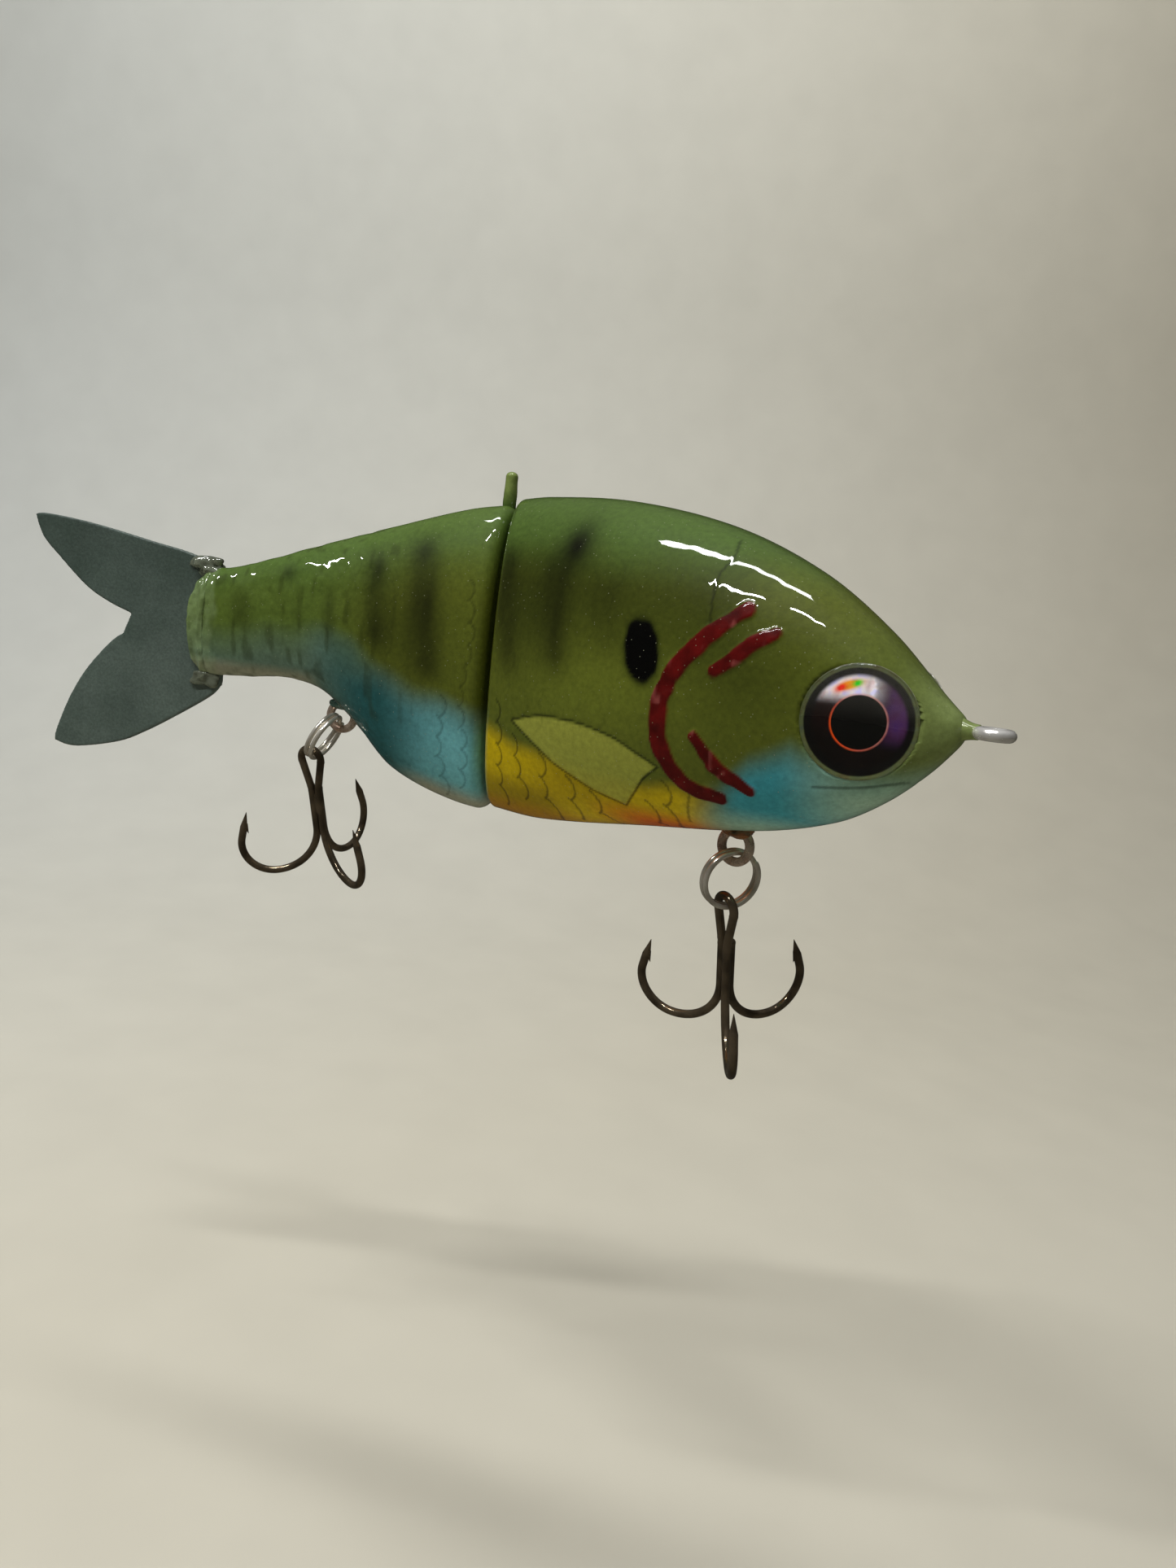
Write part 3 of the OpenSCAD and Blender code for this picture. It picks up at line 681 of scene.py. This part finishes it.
def give(obj, material):
    obj.data.materials.clear()
    obj.data.materials.append(material)


def dress(node, material):
    """Gives a CAD node a material in every slot."""
    obj = bpy.data.objects[node]
    for slot in obj.material_slots:
        slot.material = material


# ---------------------------------------------------------------- body sections

def seat_eyes(obj):
    """Sinks the flat seats of both eyes into the head."""
    p = positions(obj)
    for side in (1, -1):
        centre = EYE_AT * (1, side, 1)
        axis = EYE_AXIS * (1, side, 1)
        height = (p - centre) @ axis
        radial = np.linalg.norm(p - centre - height[:, None] * axis, axis=1)
        sunk = (radial < EYE_R + 0.1) & (height > -0.1) & (height < 6)
        p[sunk] -= ((height + 0.1)[:, None] * axis)[sunk]
    set_positions(obj, p)


def cut_joint_slots(obj):
    """Opens the rear section's front face round each screw eye."""
    p = positions(obj)
    slot_r, slot_half = 2.7, 0.95
    for z in JOINT_EYE_Z:
        inside = ((np.abs(p[:, 2] - z) < slot_half) & (np.abs(p[:, 1]) < slot_r)
                  & (np.abs(p[:, 0] - REAR_FRONT) < 0.2))
        p[inside, 0] = PIN_X - np.sqrt(slot_r**2 - p[inside, 1]**2)
    set_positions(obj, p)


def build_front():
    a = np.arange(0, 2 * math.pi, 2 * math.pi / 440)
    t = stations(0.0402, 1, 0.0036, round_start=1.2 / FRONT_LENGTH,
                 round_end=EDGE_ROUND / FRONT_LENGTH, rows=12)
    rings = front_rings(t, a)
    shell = Shell()
    shell.grid(rings, closed=True)
    shell.cap(rings[0], 0.0, columns=12)
    shell.cap(rings[-1], VEE_SLOPE)
    obj = shell.build("front_section_skin")
    apply_paint(obj, front_paint)
    seat_eyes(obj)
    give(obj, SKIN)
    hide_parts("front_body", "nose_plug", "belly_plug")
    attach(obj, "front_section")


def build_rear():
    a = np.arange(0, 2 * math.pi, 2 * math.pi / 400)
    t = stations(0, COLLAR_T, 0.0048, round_start=EDGE_ROUND / REAR_LENGTH, rows=12)
    rings = rear_rings(t, a)
    shell = Shell()
    shell.grid(rings, closed=True)
    shell.cap(rings[0], 0.0, columns=60)
    shell.cap(rings[-1], 0.0, columns=12)
    obj = shell.build("rear_section_skin")
    apply_paint(obj, rear_paint)
    cut_joint_slots(obj)
    swing(obj)
    give(obj, SKIN)
    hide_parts("rear_body", "rear_plug")
    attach(obj, "rear_section")


# ---------------------------------------------------------------- tail

TAIL_TOP = [(-4.2, 10), (-1.8, 10.5), (2.8, 11.6), (9, 12.6), (17, 14), (24, 15), (31, 15.6), (33.2, 15.3)]
TAIL_UPPER_FORK = [(33.2, 15.3), (31.5, 11.6), (28, 8.4), (22, 3.7), (17, 1.3), (12, -0.3), (10, -1.4)]
TAIL_LOWER_FORK = [(10, -1.4), (12, -3), (15.5, -4.7), (20.5, -10), (24, -15.5), (26.8, -22), (27.3, -24.4)]
TAIL_LOW = [(27.3, -24.4), (23, -25), (14.5, -23.1), (9, -20.6), (2.2, -16.6), (-4.2, -12.4), (-6, -10)]
TAIL_THICKNESS = 1.0


def build_tail():
    """One sheet from the slot in the rear section to both tips, with a slight wave that grows behind its
    root.
    """
    upper = np.concatenate([spline(TAIL_TOP, 8)[:-1], spline(TAIL_UPPER_FORK, 8)])
    lower = np.concatenate([spline(TAIL_LOWER_FORK, 8)[:-1], spline(TAIL_LOW, 8)])
    outline = np.concatenate([upper, lower, [(-6, 7.5)]])
    work = bmesh.new()
    verts = [work.verts.new(((TAIL_X - b) * MM, 0, z * MM)) for b, z in outline]
    work.faces.new(verts)
    bmesh.ops.triangulate(work, faces=work.faces[:])
    mesh = bpy.data.meshes.new("tail_sheet")
    work.to_mesh(mesh)
    work.free()
    obj = bpy.data.objects.new("tail_sheet", mesh)
    bpy.context.scene.collection.objects.link(obj)
    solidify = obj.modifiers.new("thickness", "SOLIDIFY")
    solidify.thickness = TAIL_THICKNESS * MM
    solidify.offset = 0
    remesh = obj.modifiers.new("remesh", "REMESH")
    remesh.mode = "VOXEL"
    remesh.voxel_size = 0.22 * MM
    smooth = obj.modifiers.new("smooth", "SMOOTH")
    smooth.factor = 0.5
    smooth.iterations = 3
    evaluated = obj.evaluated_get(bpy.context.evaluated_depsgraph_get())
    final = bpy.data.meshes.new_from_object(evaluated)
    obj.modifiers.clear()
    obj.data = final
    final.shade_smooth()
    p = positions(obj)
    behind = np.clip(TAIL_X - p[:, 0], 0, None)
    p[:, 1] += 0.012 * behind * np.sin(p[:, 2] / 9 + 0.6)
    set_positions(obj, p)
    swing(obj)
    give(obj, TAIL)
    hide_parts("tail_root", "tail_blade")
    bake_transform(obj)


def swung(point):
    """A point of the straight rear section at the resting bend, in metres."""
    x, y, z = point
    dx = x - PIN_X
    c, s = math.cos(REST_BEND), math.sin(REST_BEND)
    return ((PIN_X + dx * c - y * s) * MM, (dx * s + y * c) * MM, z * MM)


def collar_paint(p):
    """The rear section's colours, milky under the epoxy."""
    c, relief = rear_paint(p)
    return mix(c, MILKY, 0.05 + 0.3 * value_noise(p, 1.2, 15)), 0 * relief


def build_collar():
    """Epoxy band round the tail's root."""
    a = np.arange(0, 2 * math.pi, 2 * math.pi / 120)
    t = stations(COLLAR_T, 1, 0.003)
    rings = rear_rings(t, a, swell=0.2)
    shell = Shell()
    shell.grid(rings, closed=True)
    shell.cap(rings[0], 0.0, columns=12)
    shell.cap(rings[-1], 0.0, columns=12)
    obj = shell.build("tail_collar_epoxy")
    apply_paint(obj, collar_paint)
    p = positions(obj)
    lumps = value_noise(p, 1.7, 8) + 0.5 * value_noise(p, 0.8, 9) - 0.75
    edge = 1.1 * (value_noise(p * (0, 1, 1), 1.6, 16) - 0.5)
    ridge = (np.exp(-((p[:, 0] - COLLAR_X + 0.7 + edge) / 0.4)**2)
             + np.exp(-((p[:, 0] - TAIL_X - 0.7) / 0.5)**2))
    around = p[:, 1]**2 + p[:, 2]**2 > 2
    set_positions(obj, p + normals(obj) * (around * (0.55 * lumps + 0.22 * ridge))[:, None])
    swing(obj)
    give(obj, COLLAR_SKIN)
    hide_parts("tail_collar")
    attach(obj, "rear_section")


def blob(name, centre, radii, seed, lump, rows=40):
    """Lumpy closed drop of epoxy."""
    a = np.arange(0, 2 * math.pi, 2 * math.pi / (2 * rows))
    v = np.linspace(-math.pi / 2, math.pi / 2, rows)
    unit = np.stack([np.cos(v)[:, None] * np.cos(a)[None], np.cos(v)[:, None] * np.sin(a)[None],
                     np.repeat(np.sin(v)[:, None], len(a), axis=1)], axis=2)
    shell = Shell()
    shell.grid(unit, closed=True)
    obj = shell.build(name, merge=1e-9)
    p = positions(obj)
    grow = 1 + lump * (value_noise(p * 3 + seed * 5, 1.7, seed) - 0.5)
    set_positions(obj, np.array(centre) + p * grow[:, None] * np.array(radii))
    return obj


def build_beads():
    top = blob("tail_bead_top", (COLLAR_X - 1.2, 0, 9.3), (3.0, 1.7, 1.7), 3, 0.9)
    low = blob("tail_bead_low", (COLLAR_X - 1.0, 0, -9.6), (2.7, 1.6, 1.9), 5, 0.9)
    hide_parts("tail_epoxy_beads")
    for obj in (top, low):
        swing(obj)
        give(obj, OLIVE_EPOXY)
        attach(obj, "rear_section")


def turned(name, profile, segments=96):
    """Turns (radius, height) points about the Z axis."""
    a = np.arange(0, 2 * math.pi, 2 * math.pi / segments)
    profile = np.array(profile)
    rows = np.stack([profile[:, 0, None] * np.cos(a), profile[:, 0, None] * np.sin(a),
                     np.repeat(profile[:, 1, None], segments, axis=1)], axis=2)
    shell = Shell()
    shell.grid(rows, closed=True)
    return shell.build(name, merge=1e-8)


def build_hinge_pin():
    """Pin with its painted, slightly swollen head standing out of the back."""
    heights = np.concatenate([np.arange(-19, 22, 2.0), np.arange(22, 28, 0.2)])
    profile = [(1.0 + 0.06 * smoothstep(22.5, 24, h) - 0.12 * smoothstep(24, 28.5, h), h) for h in heights]
    head = [(0.94 * math.cos(v), 28 + 0.8 * math.sin(v)) for v in np.linspace(0.05, math.pi / 2, 10)]
    obj = turned("hinge_pin_painted", [(0.0, -19.0)] + profile + head)
    p = positions(obj)
    out = p * (1, 1, 0)
    grow = 0.14 * (value_noise(p, 1.5, 12) - 0.5) * smoothstep(22, 23.5, p[:, 2])
    set_positions(obj, p + out * grow[:, None] + (PIN_X, 0, 0))
    apply_paint(obj, lambda q: (mix(np.repeat(colour(122, 138, 74)[None], len(q), axis=0), BACK_GREEN,
                                    smoothstep(27, 23, q[:, 2])), np.zeros(len(q))))
    give(obj, SKIN)
    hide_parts("hinge_pin")
    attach(obj, "rear_section")


def build_hanger_epoxy():
    front = blob("front_hanger_bead", (-31.8, 0, -18.0), (2.3, 1.9, 1.0), 7, 0.5)
    give(front, AMBER_EPOXY)
    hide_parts("front_hanger_epoxy")
    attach(front, "front_section")
    rear = blob("rear_hanger_bead", (-106.1, 0, -10.7), (2.4, 1.9, 1.0), 9, 0.5)
    swing(rear)
    give(rear, TEAL_EPOXY)
    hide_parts("rear_hanger_epoxy")
    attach(rear, "rear_section")
    reach = np.linspace(0, 1, 24)
    cone = [(0.92 + 1.0 * (1 - u)**1.7, 3.4 * u) for u in reach]
    root = turned("line_tie_bead", [(0.0, 0.0)] + cone + [(0.7, 3.5), (0.0, 3.55)])
    p = positions(root)
    grow = 1 + 0.1 * (value_noise(p, 1.4, 2) - 0.5)
    set_positions(root, np.stack([p[:, 2] - 5.2, p[:, 1] * grow, -p[:, 0] * grow], axis=1))
    apply_paint(root, lambda q: (front_paint(q)[0], np.zeros(len(q))))
    give(root, SKIN)
    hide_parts("line_tie_epoxy")
    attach(root, "front_section")


def coil(name, centre, axis, body, node):
    """Split ring: two turns of wire side by side, one stepping over to the other, with tapered ends."""
    axis = Vector(axis).normalized()
    turn = axis.to_track_quat("Z", "Y").to_matrix()
    turns, ring_r, wire_r, spacing = 1.98, 4.0, 0.385, 0.92
    u = np.linspace(0, 1, 260)
    angle = 2 * math.pi * turns * u + 0.9
    lift = spacing * (smoothstep(0.40, 0.60, u) - 0.5)
    spine = np.stack([ring_r * np.cos(angle), ring_r * np.sin(angle), lift], axis=1)
    along = np.gradient(spine, axis=0)
    along /= np.linalg.norm(along, axis=1)[:, None]
    out = np.stack([np.cos(angle), np.sin(angle), np.zeros_like(angle)], axis=1)
    across = np.cross(along, out)
    a = np.arange(0, 2 * math.pi, 2 * math.pi / 28)
    r = wire_r * np.clip(np.minimum(u, 1 - u) / 0.008, 0.05, 1)**0.5
    rows = (spine[:, None] + r[:, None, None] * (np.cos(a)[None, :, None] * out[:, None]
                                                 + np.sin(a)[None, :, None] * across[:, None]))
    shell = Shell()
    shell.grid(rows, closed=True)
    shell.grid(np.stack([rows[0], np.repeat(rows[0].mean(0)[None], len(a), axis=0)]), closed=True)
    shell.grid(np.stack([rows[-1], np.repeat(rows[-1].mean(0)[None], len(a), axis=0)]), closed=True)
    obj = shell.build(name, merge=1e-7)
    obj.data.transform(Matrix.Translation(Vector(centre)) @ turn.to_4x4())
    obj.data.update()
    give(obj, NICKEL)
    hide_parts(node)
    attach(obj, body)


def direction(lean, heading):
    lean, heading = math.radians(lean), math.radians(heading)
    return (math.sin(lean) * math.cos(heading), math.sin(lean) * math.sin(heading), math.cos(lean))


def build_split_rings():
    front = np.array([-0.407 * FRONT_LENGTH, 0, -0.863 * BELLY_DEPTH]) + (-0.41, 0.46, -4.77)
    coil("front_ring_coil", front * MM, direction(98.3, -28.9), "front_ring", "front_split_ring")
    rear = np.array([REAR_FRONT - 0.485 * REAR_LENGTH, 0, -0.551 * BELLY_DEPTH]) + (-2.29, -1.47, -3.63)
    axis = Matrix.Rotation(REST_BEND, 3, "Z") @ Vector(direction(116.7, 2.5))
    coil("rear_ring_coil", swung(rear), axis, "rear_ring", "rear_split_ring")


# ---------------------------------------------------------------- eyes

def place_eye(obj, side):
    axis = Vector(EYE_AXIS * (1, side, 1))
    turn = axis.to_track_quat("Z", "Y").to_matrix().to_4x4()
    obj.data.transform(Matrix.Translation(Vector(EYE_AT * (1, side, 1)) * MM) @ turn)
    obj.data.update()


def foil_paint(p):
    """Black pupil in a thin fiery ring, silvery above under a painted highlight, purple forward and nearly
    black below, with a painted rainbow highlight and a painted white lamp highlight.
    """
    x, y = p[:, 0], p[:, 1]
    r = np.hypot(x, y)
    turn = np.arctan2(y, x)
    c = np.repeat(colour(22, 8, 6)[None], len(p), axis=0)
    c = mix(c, colour(11, 7, 4), 0.9 * smoothstep(0.4, -2.4, y))
    c = mix(c, colour(84, 50, 96), 0.75 * smoothstep(1.4, 4, x) * smoothstep(-3, 0, y))
    # Silvery foil in the upper part, pushed brighter than white as a painted highlight
    c = mix(c, np.array([1.1, 1.08, 1.05]), 0.95 * smoothstep(1.6, 3.6, y) * smoothstep(3.4, -1, x))
    # Painted highlight: a rainbow glint of orange, green and red spots on the foil
    across = y - 0.35 * x
    c = mix(c, colour(255, 176, 20), 2.2 * spot(x, across, (-1.6, 4.7), 1.2, 0.5))
    c = mix(c, colour(40, 230, 30), 1.5 * spot(x, across, (-0.7, 4.7), 0.45, 0.35))
    c = mix(c, colour(255, 40, 8), 1.5 * spot(x, across, (-2.5, 4.6), 0.55, 0.4))
    # Painted highlight: a white lamp glint on the foil, brighter than white
    glint = spot(x, y, (1.1, 4.2), 0.12 + 0.16 * smoothstep(5.2, 3.6, y), 0.8)
    c = mix(c, np.array([1.5, 1.48, 1.4]), 1.8 * glint)
    fire = smoothstep(3.36, 3.26, r) * smoothstep(3.14, 3.22, r)
    warm = 0.5 + 0.5 * np.cos(turn + 2.6)
    c = mix(c, colour(250, 90, 14), fire * (0.15 + 0.85 * warm**2))
    c = mix(c, colour(230, 170, 150), 0.6 * fire * (1 - warm))
    c = mix(c, colour(5, 5, 3), smoothstep(3.2, 3.1, r))
    c = mix(c, colour(10, 9, 6), smoothstep(5.1, 5.7, r))
    c = mix(c, colour(84, 94, 56), smoothstep(6.25, 6.4, r))
    return c, np.zeros(len(p))


def build_eyes():
    for side, name in ((1, "right"), (-1, "left")):
        rings = [(r, 0.3) for r in np.linspace(0, EYE_R - 0.15, 60)]
        foil = turned(name + "_foil_disc", rings + [(EYE_R, 0.2), (EYE_R, 0.02), (0, 0.02)])
        apply_paint(foil, foil_paint)
        place_eye(foil, side)
        give(foil, FOIL)
        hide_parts(name + "_eye_foil")
        dome = 1.1
        ball = (EYE_R**2 + dome**2) / (2 * dome)
        lens_base, lens_rim = 0.6, 0.35
        heights = [(r, lens_base + math.sqrt(ball**2 - r**2) - ball + dome)
                   for r in np.linspace(0, EYE_R - lens_rim, 40)]
        edge = [(EYE_R - lens_rim + lens_rim * math.sin(v), 0.36 + 0.28 * math.cos(v))
                for v in np.linspace(0.4, 1.57, 8)]
        lens = turned(name + "_dome_lens", heights + edge + [(EYE_R, 0.35), (EYE_R - 0.1, 0.33), (0, 0.33)])
        place_eye(lens, side)
        give(lens, LENS)
        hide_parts(name + "_eye_lens")
        lens.visible_shadow = False
        for obj in (foil, lens):
            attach(obj, "front_section")


# ---------------------------------------------------------------- build

build_front()
build_rear()
build_tail()
build_collar()
build_beads()
build_hinge_pin()
build_hanger_epoxy()
build_split_rings()
build_eyes()

for node in ("line_tie", "upper_joint_eye", "lower_joint_eye"):
    dress(node, BRIGHT_WIRE)
dress("front_hanger", COPPERY_WIRE)
dress("rear_hanger", COPPERY_WIRE)
for node in ("front_treble_hook", "rear_treble_hook"):
    dress(node, BLACK_NICKEL)
for node in ("nose_ballast", "belly_ballast", "rear_ballast"):
    dress(node, LEAD)


# ---------------------------------------------------------------- floor, light and camera

def build_floor():
    """Pale floor that sweeps up behind the lure, square to the line of sight."""
    floor_z = cad_box[0][2] - 0.12
    ahead = Vector((-0.63, 0.777, 0)).normalized()
    side = Vector((ahead.y, -ahead.x, 0))
    bend = 0.45
    path = [(-2.2, 0.0), (0.35, 0.0)]
    path += [(0.35 + bend * math.sin(v), bend * (1 - math.cos(v)))
             for v in np.linspace(0.05, math.pi / 2, 24)]
    path += [(0.35 + bend, 2.4)]
    points = []
    for reach, rise in path:
        for across in (-2.6, 2.6):
            q = Vector((-0.08, 0, 0)) + ahead * reach + side * across
            points.append((q.x, q.y, floor_z + rise))
    faces = [(2 * i, 2 * i + 1, 2 * i + 3, 2 * i + 2) for i in range(len(path) - 1)]
    mesh = bpy.data.meshes.new("floor")
    mesh.from_pydata(points, [], faces)
    mesh.shade_smooth()
    floor = bpy.data.objects.new("floor", mesh)
    bpy.context.scene.collection.objects.link(floor)
    material, tree, shader = new_material("pale_floor")
    place = object_coordinates(tree)
    split = tree.nodes.new("ShaderNodeSeparateXYZ")
    tree.links.new(place, split.inputs["Vector"])
    span = tree.nodes.new("ShaderNodeMapRange")
    span.inputs["From Min"].default_value = -0.95
    span.inputs["From Max"].default_value = -0.20
    tree.links.new(split.outputs["X"], span.inputs["Value"])
    warmth = ramp(tree, span.outputs["Result"], [(0.0, (0.66, 0.675, 0.645)), (1.0, (0.57, 0.54, 0.45))])
    cloud = ramp(tree, noise(tree, place, 30, 2), [(0.3, (0.98, 0.98, 0.98)), (0.7, (1.02, 1.02, 1.02))])
    tree.links.new(blend_colours(tree, 1.0, warmth, cloud, "MULTIPLY"), shader.inputs["Base Color"])
    shader.inputs["Roughness"].default_value = 0.85
    shader.inputs["Specular IOR Level"].default_value = 0.1
    give(floor, material)
    floor.visible_glossy = False


def area_light(name, at, target, size, power_w, tint=(1, 1, 1), along=None):
    """Rectangular light aimed at target, its long side kept along a direction if one is given."""
    light = bpy.data.lights.new(name, "AREA")
    light.shape = "RECTANGLE"
    light.size, light.size_y = size
    light.energy = power_w
    light.color = tint
    obj = bpy.data.objects.new(name, light)
    back = (Vector(at) - Vector(target)).normalized()
    right = Vector(along or (1, 0, 0))
    right = (right - right.dot(back) * back).normalized()
    turn = Matrix((right, back.cross(right), back)).transposed().to_4x4()
    obj.matrix_world = Matrix.Translation(at) @ turn
    bpy.context.scene.collection.objects.link(obj)
    obj.visible_transmission = False
    return obj


def build_lights():
    """Thin ceiling tubes that draw streaks on the clear coat, a dim room and a lit backdrop."""
    middle = (-0.06, 0, 0)
    area_light("tube_long", (-0.16, -0.15, 0.76), middle, (0.60, 0.066), 3.2, along=(0.53, 0.25, 0.12))
    area_light("tube_left", (-0.21, -0.52, 0.60), middle, (0.22, 0.022), 2.4, along=(0.17, 0.06, 0.1))
    area_light("tube_right", (0.10, -0.37, 0.70), middle, (0.19, 0.022), 2.0, along=(0.16, 0.10, 0.03))
    # Shines on the rear section and its epoxy only
    rear_tube = area_light("tube_rear", (-0.495, -0.555, 0.447), middle, (0.11, 0.02), 0.7,
                           along=(0.124, -0.12, -0.03))
    lit = bpy.data.collections.new("lit_by_rear_tube")
    for name in ("rear_section_skin", "tail_collar_epoxy", "tail_bead_top", "tail_bead_low"):
        lit.objects.link(bpy.data.objects[name])
    rear_tube.light_linking.receiver_collection = lit
    backdrop = area_light("backdrop", (-0.36, 0.26, 0.85), (-0.62, 0.55, 0.05), (1.0, 0.25), 3.4,
                          (1, 0.99, 0.95), (0.777, 0.63, 0))
    backdrop.visible_glossy = False
    world = bpy.data.worlds.new("studio")
    world.use_nodes = True
    tree = world.node_tree
    background = tree.nodes["Background"]
    split = tree.nodes.new("ShaderNodeSeparateXYZ")
    tree.links.new(tree.nodes.new("ShaderNodeTexCoord").outputs["Generated"], split.inputs["Vector"])
    sky = ramp(tree, split.outputs["Z"],
               [(0.0, (0.20, 0.19, 0.16)), (0.42, (0.12, 0.115, 0.105)), (1.0, (0.95, 0.96, 0.97))])
    tree.links.new(sky, background.inputs["Color"])
    background.inputs["Strength"].default_value = 0.2
    bpy.context.scene.world = world
    bpy.context.scene.view_settings.view_transform = "Standard"


def build_camera():
    """Close three-quarter view of the lure's right side, a little from the front and above."""
    camera = bpy.data.cameras.new("camera")
    camera.lens = 25.03
    camera.sensor_width = 36
    camera.sensor_fit = "AUTO"
    camera.clip_start = 0.005
    obj = bpy.data.objects.new("camera", camera)
    forward = Vector((-0.6215, 0.7675, -0.1572)).normalized()
    up = Vector((-0.1826, 0.0532, 0.9817))
    right = forward.cross(up).normalized()
    up = right.cross(forward)
    turn = Matrix((right, up, -forward)).transposed().to_4x4()
    obj.matrix_world = Matrix.Translation((0.04294, -0.12519, 0.00906)) @ turn
    bpy.context.scene.collection.objects.link(obj)
    bpy.context.scene.camera = obj


build_floor()
build_lights()
build_camera()
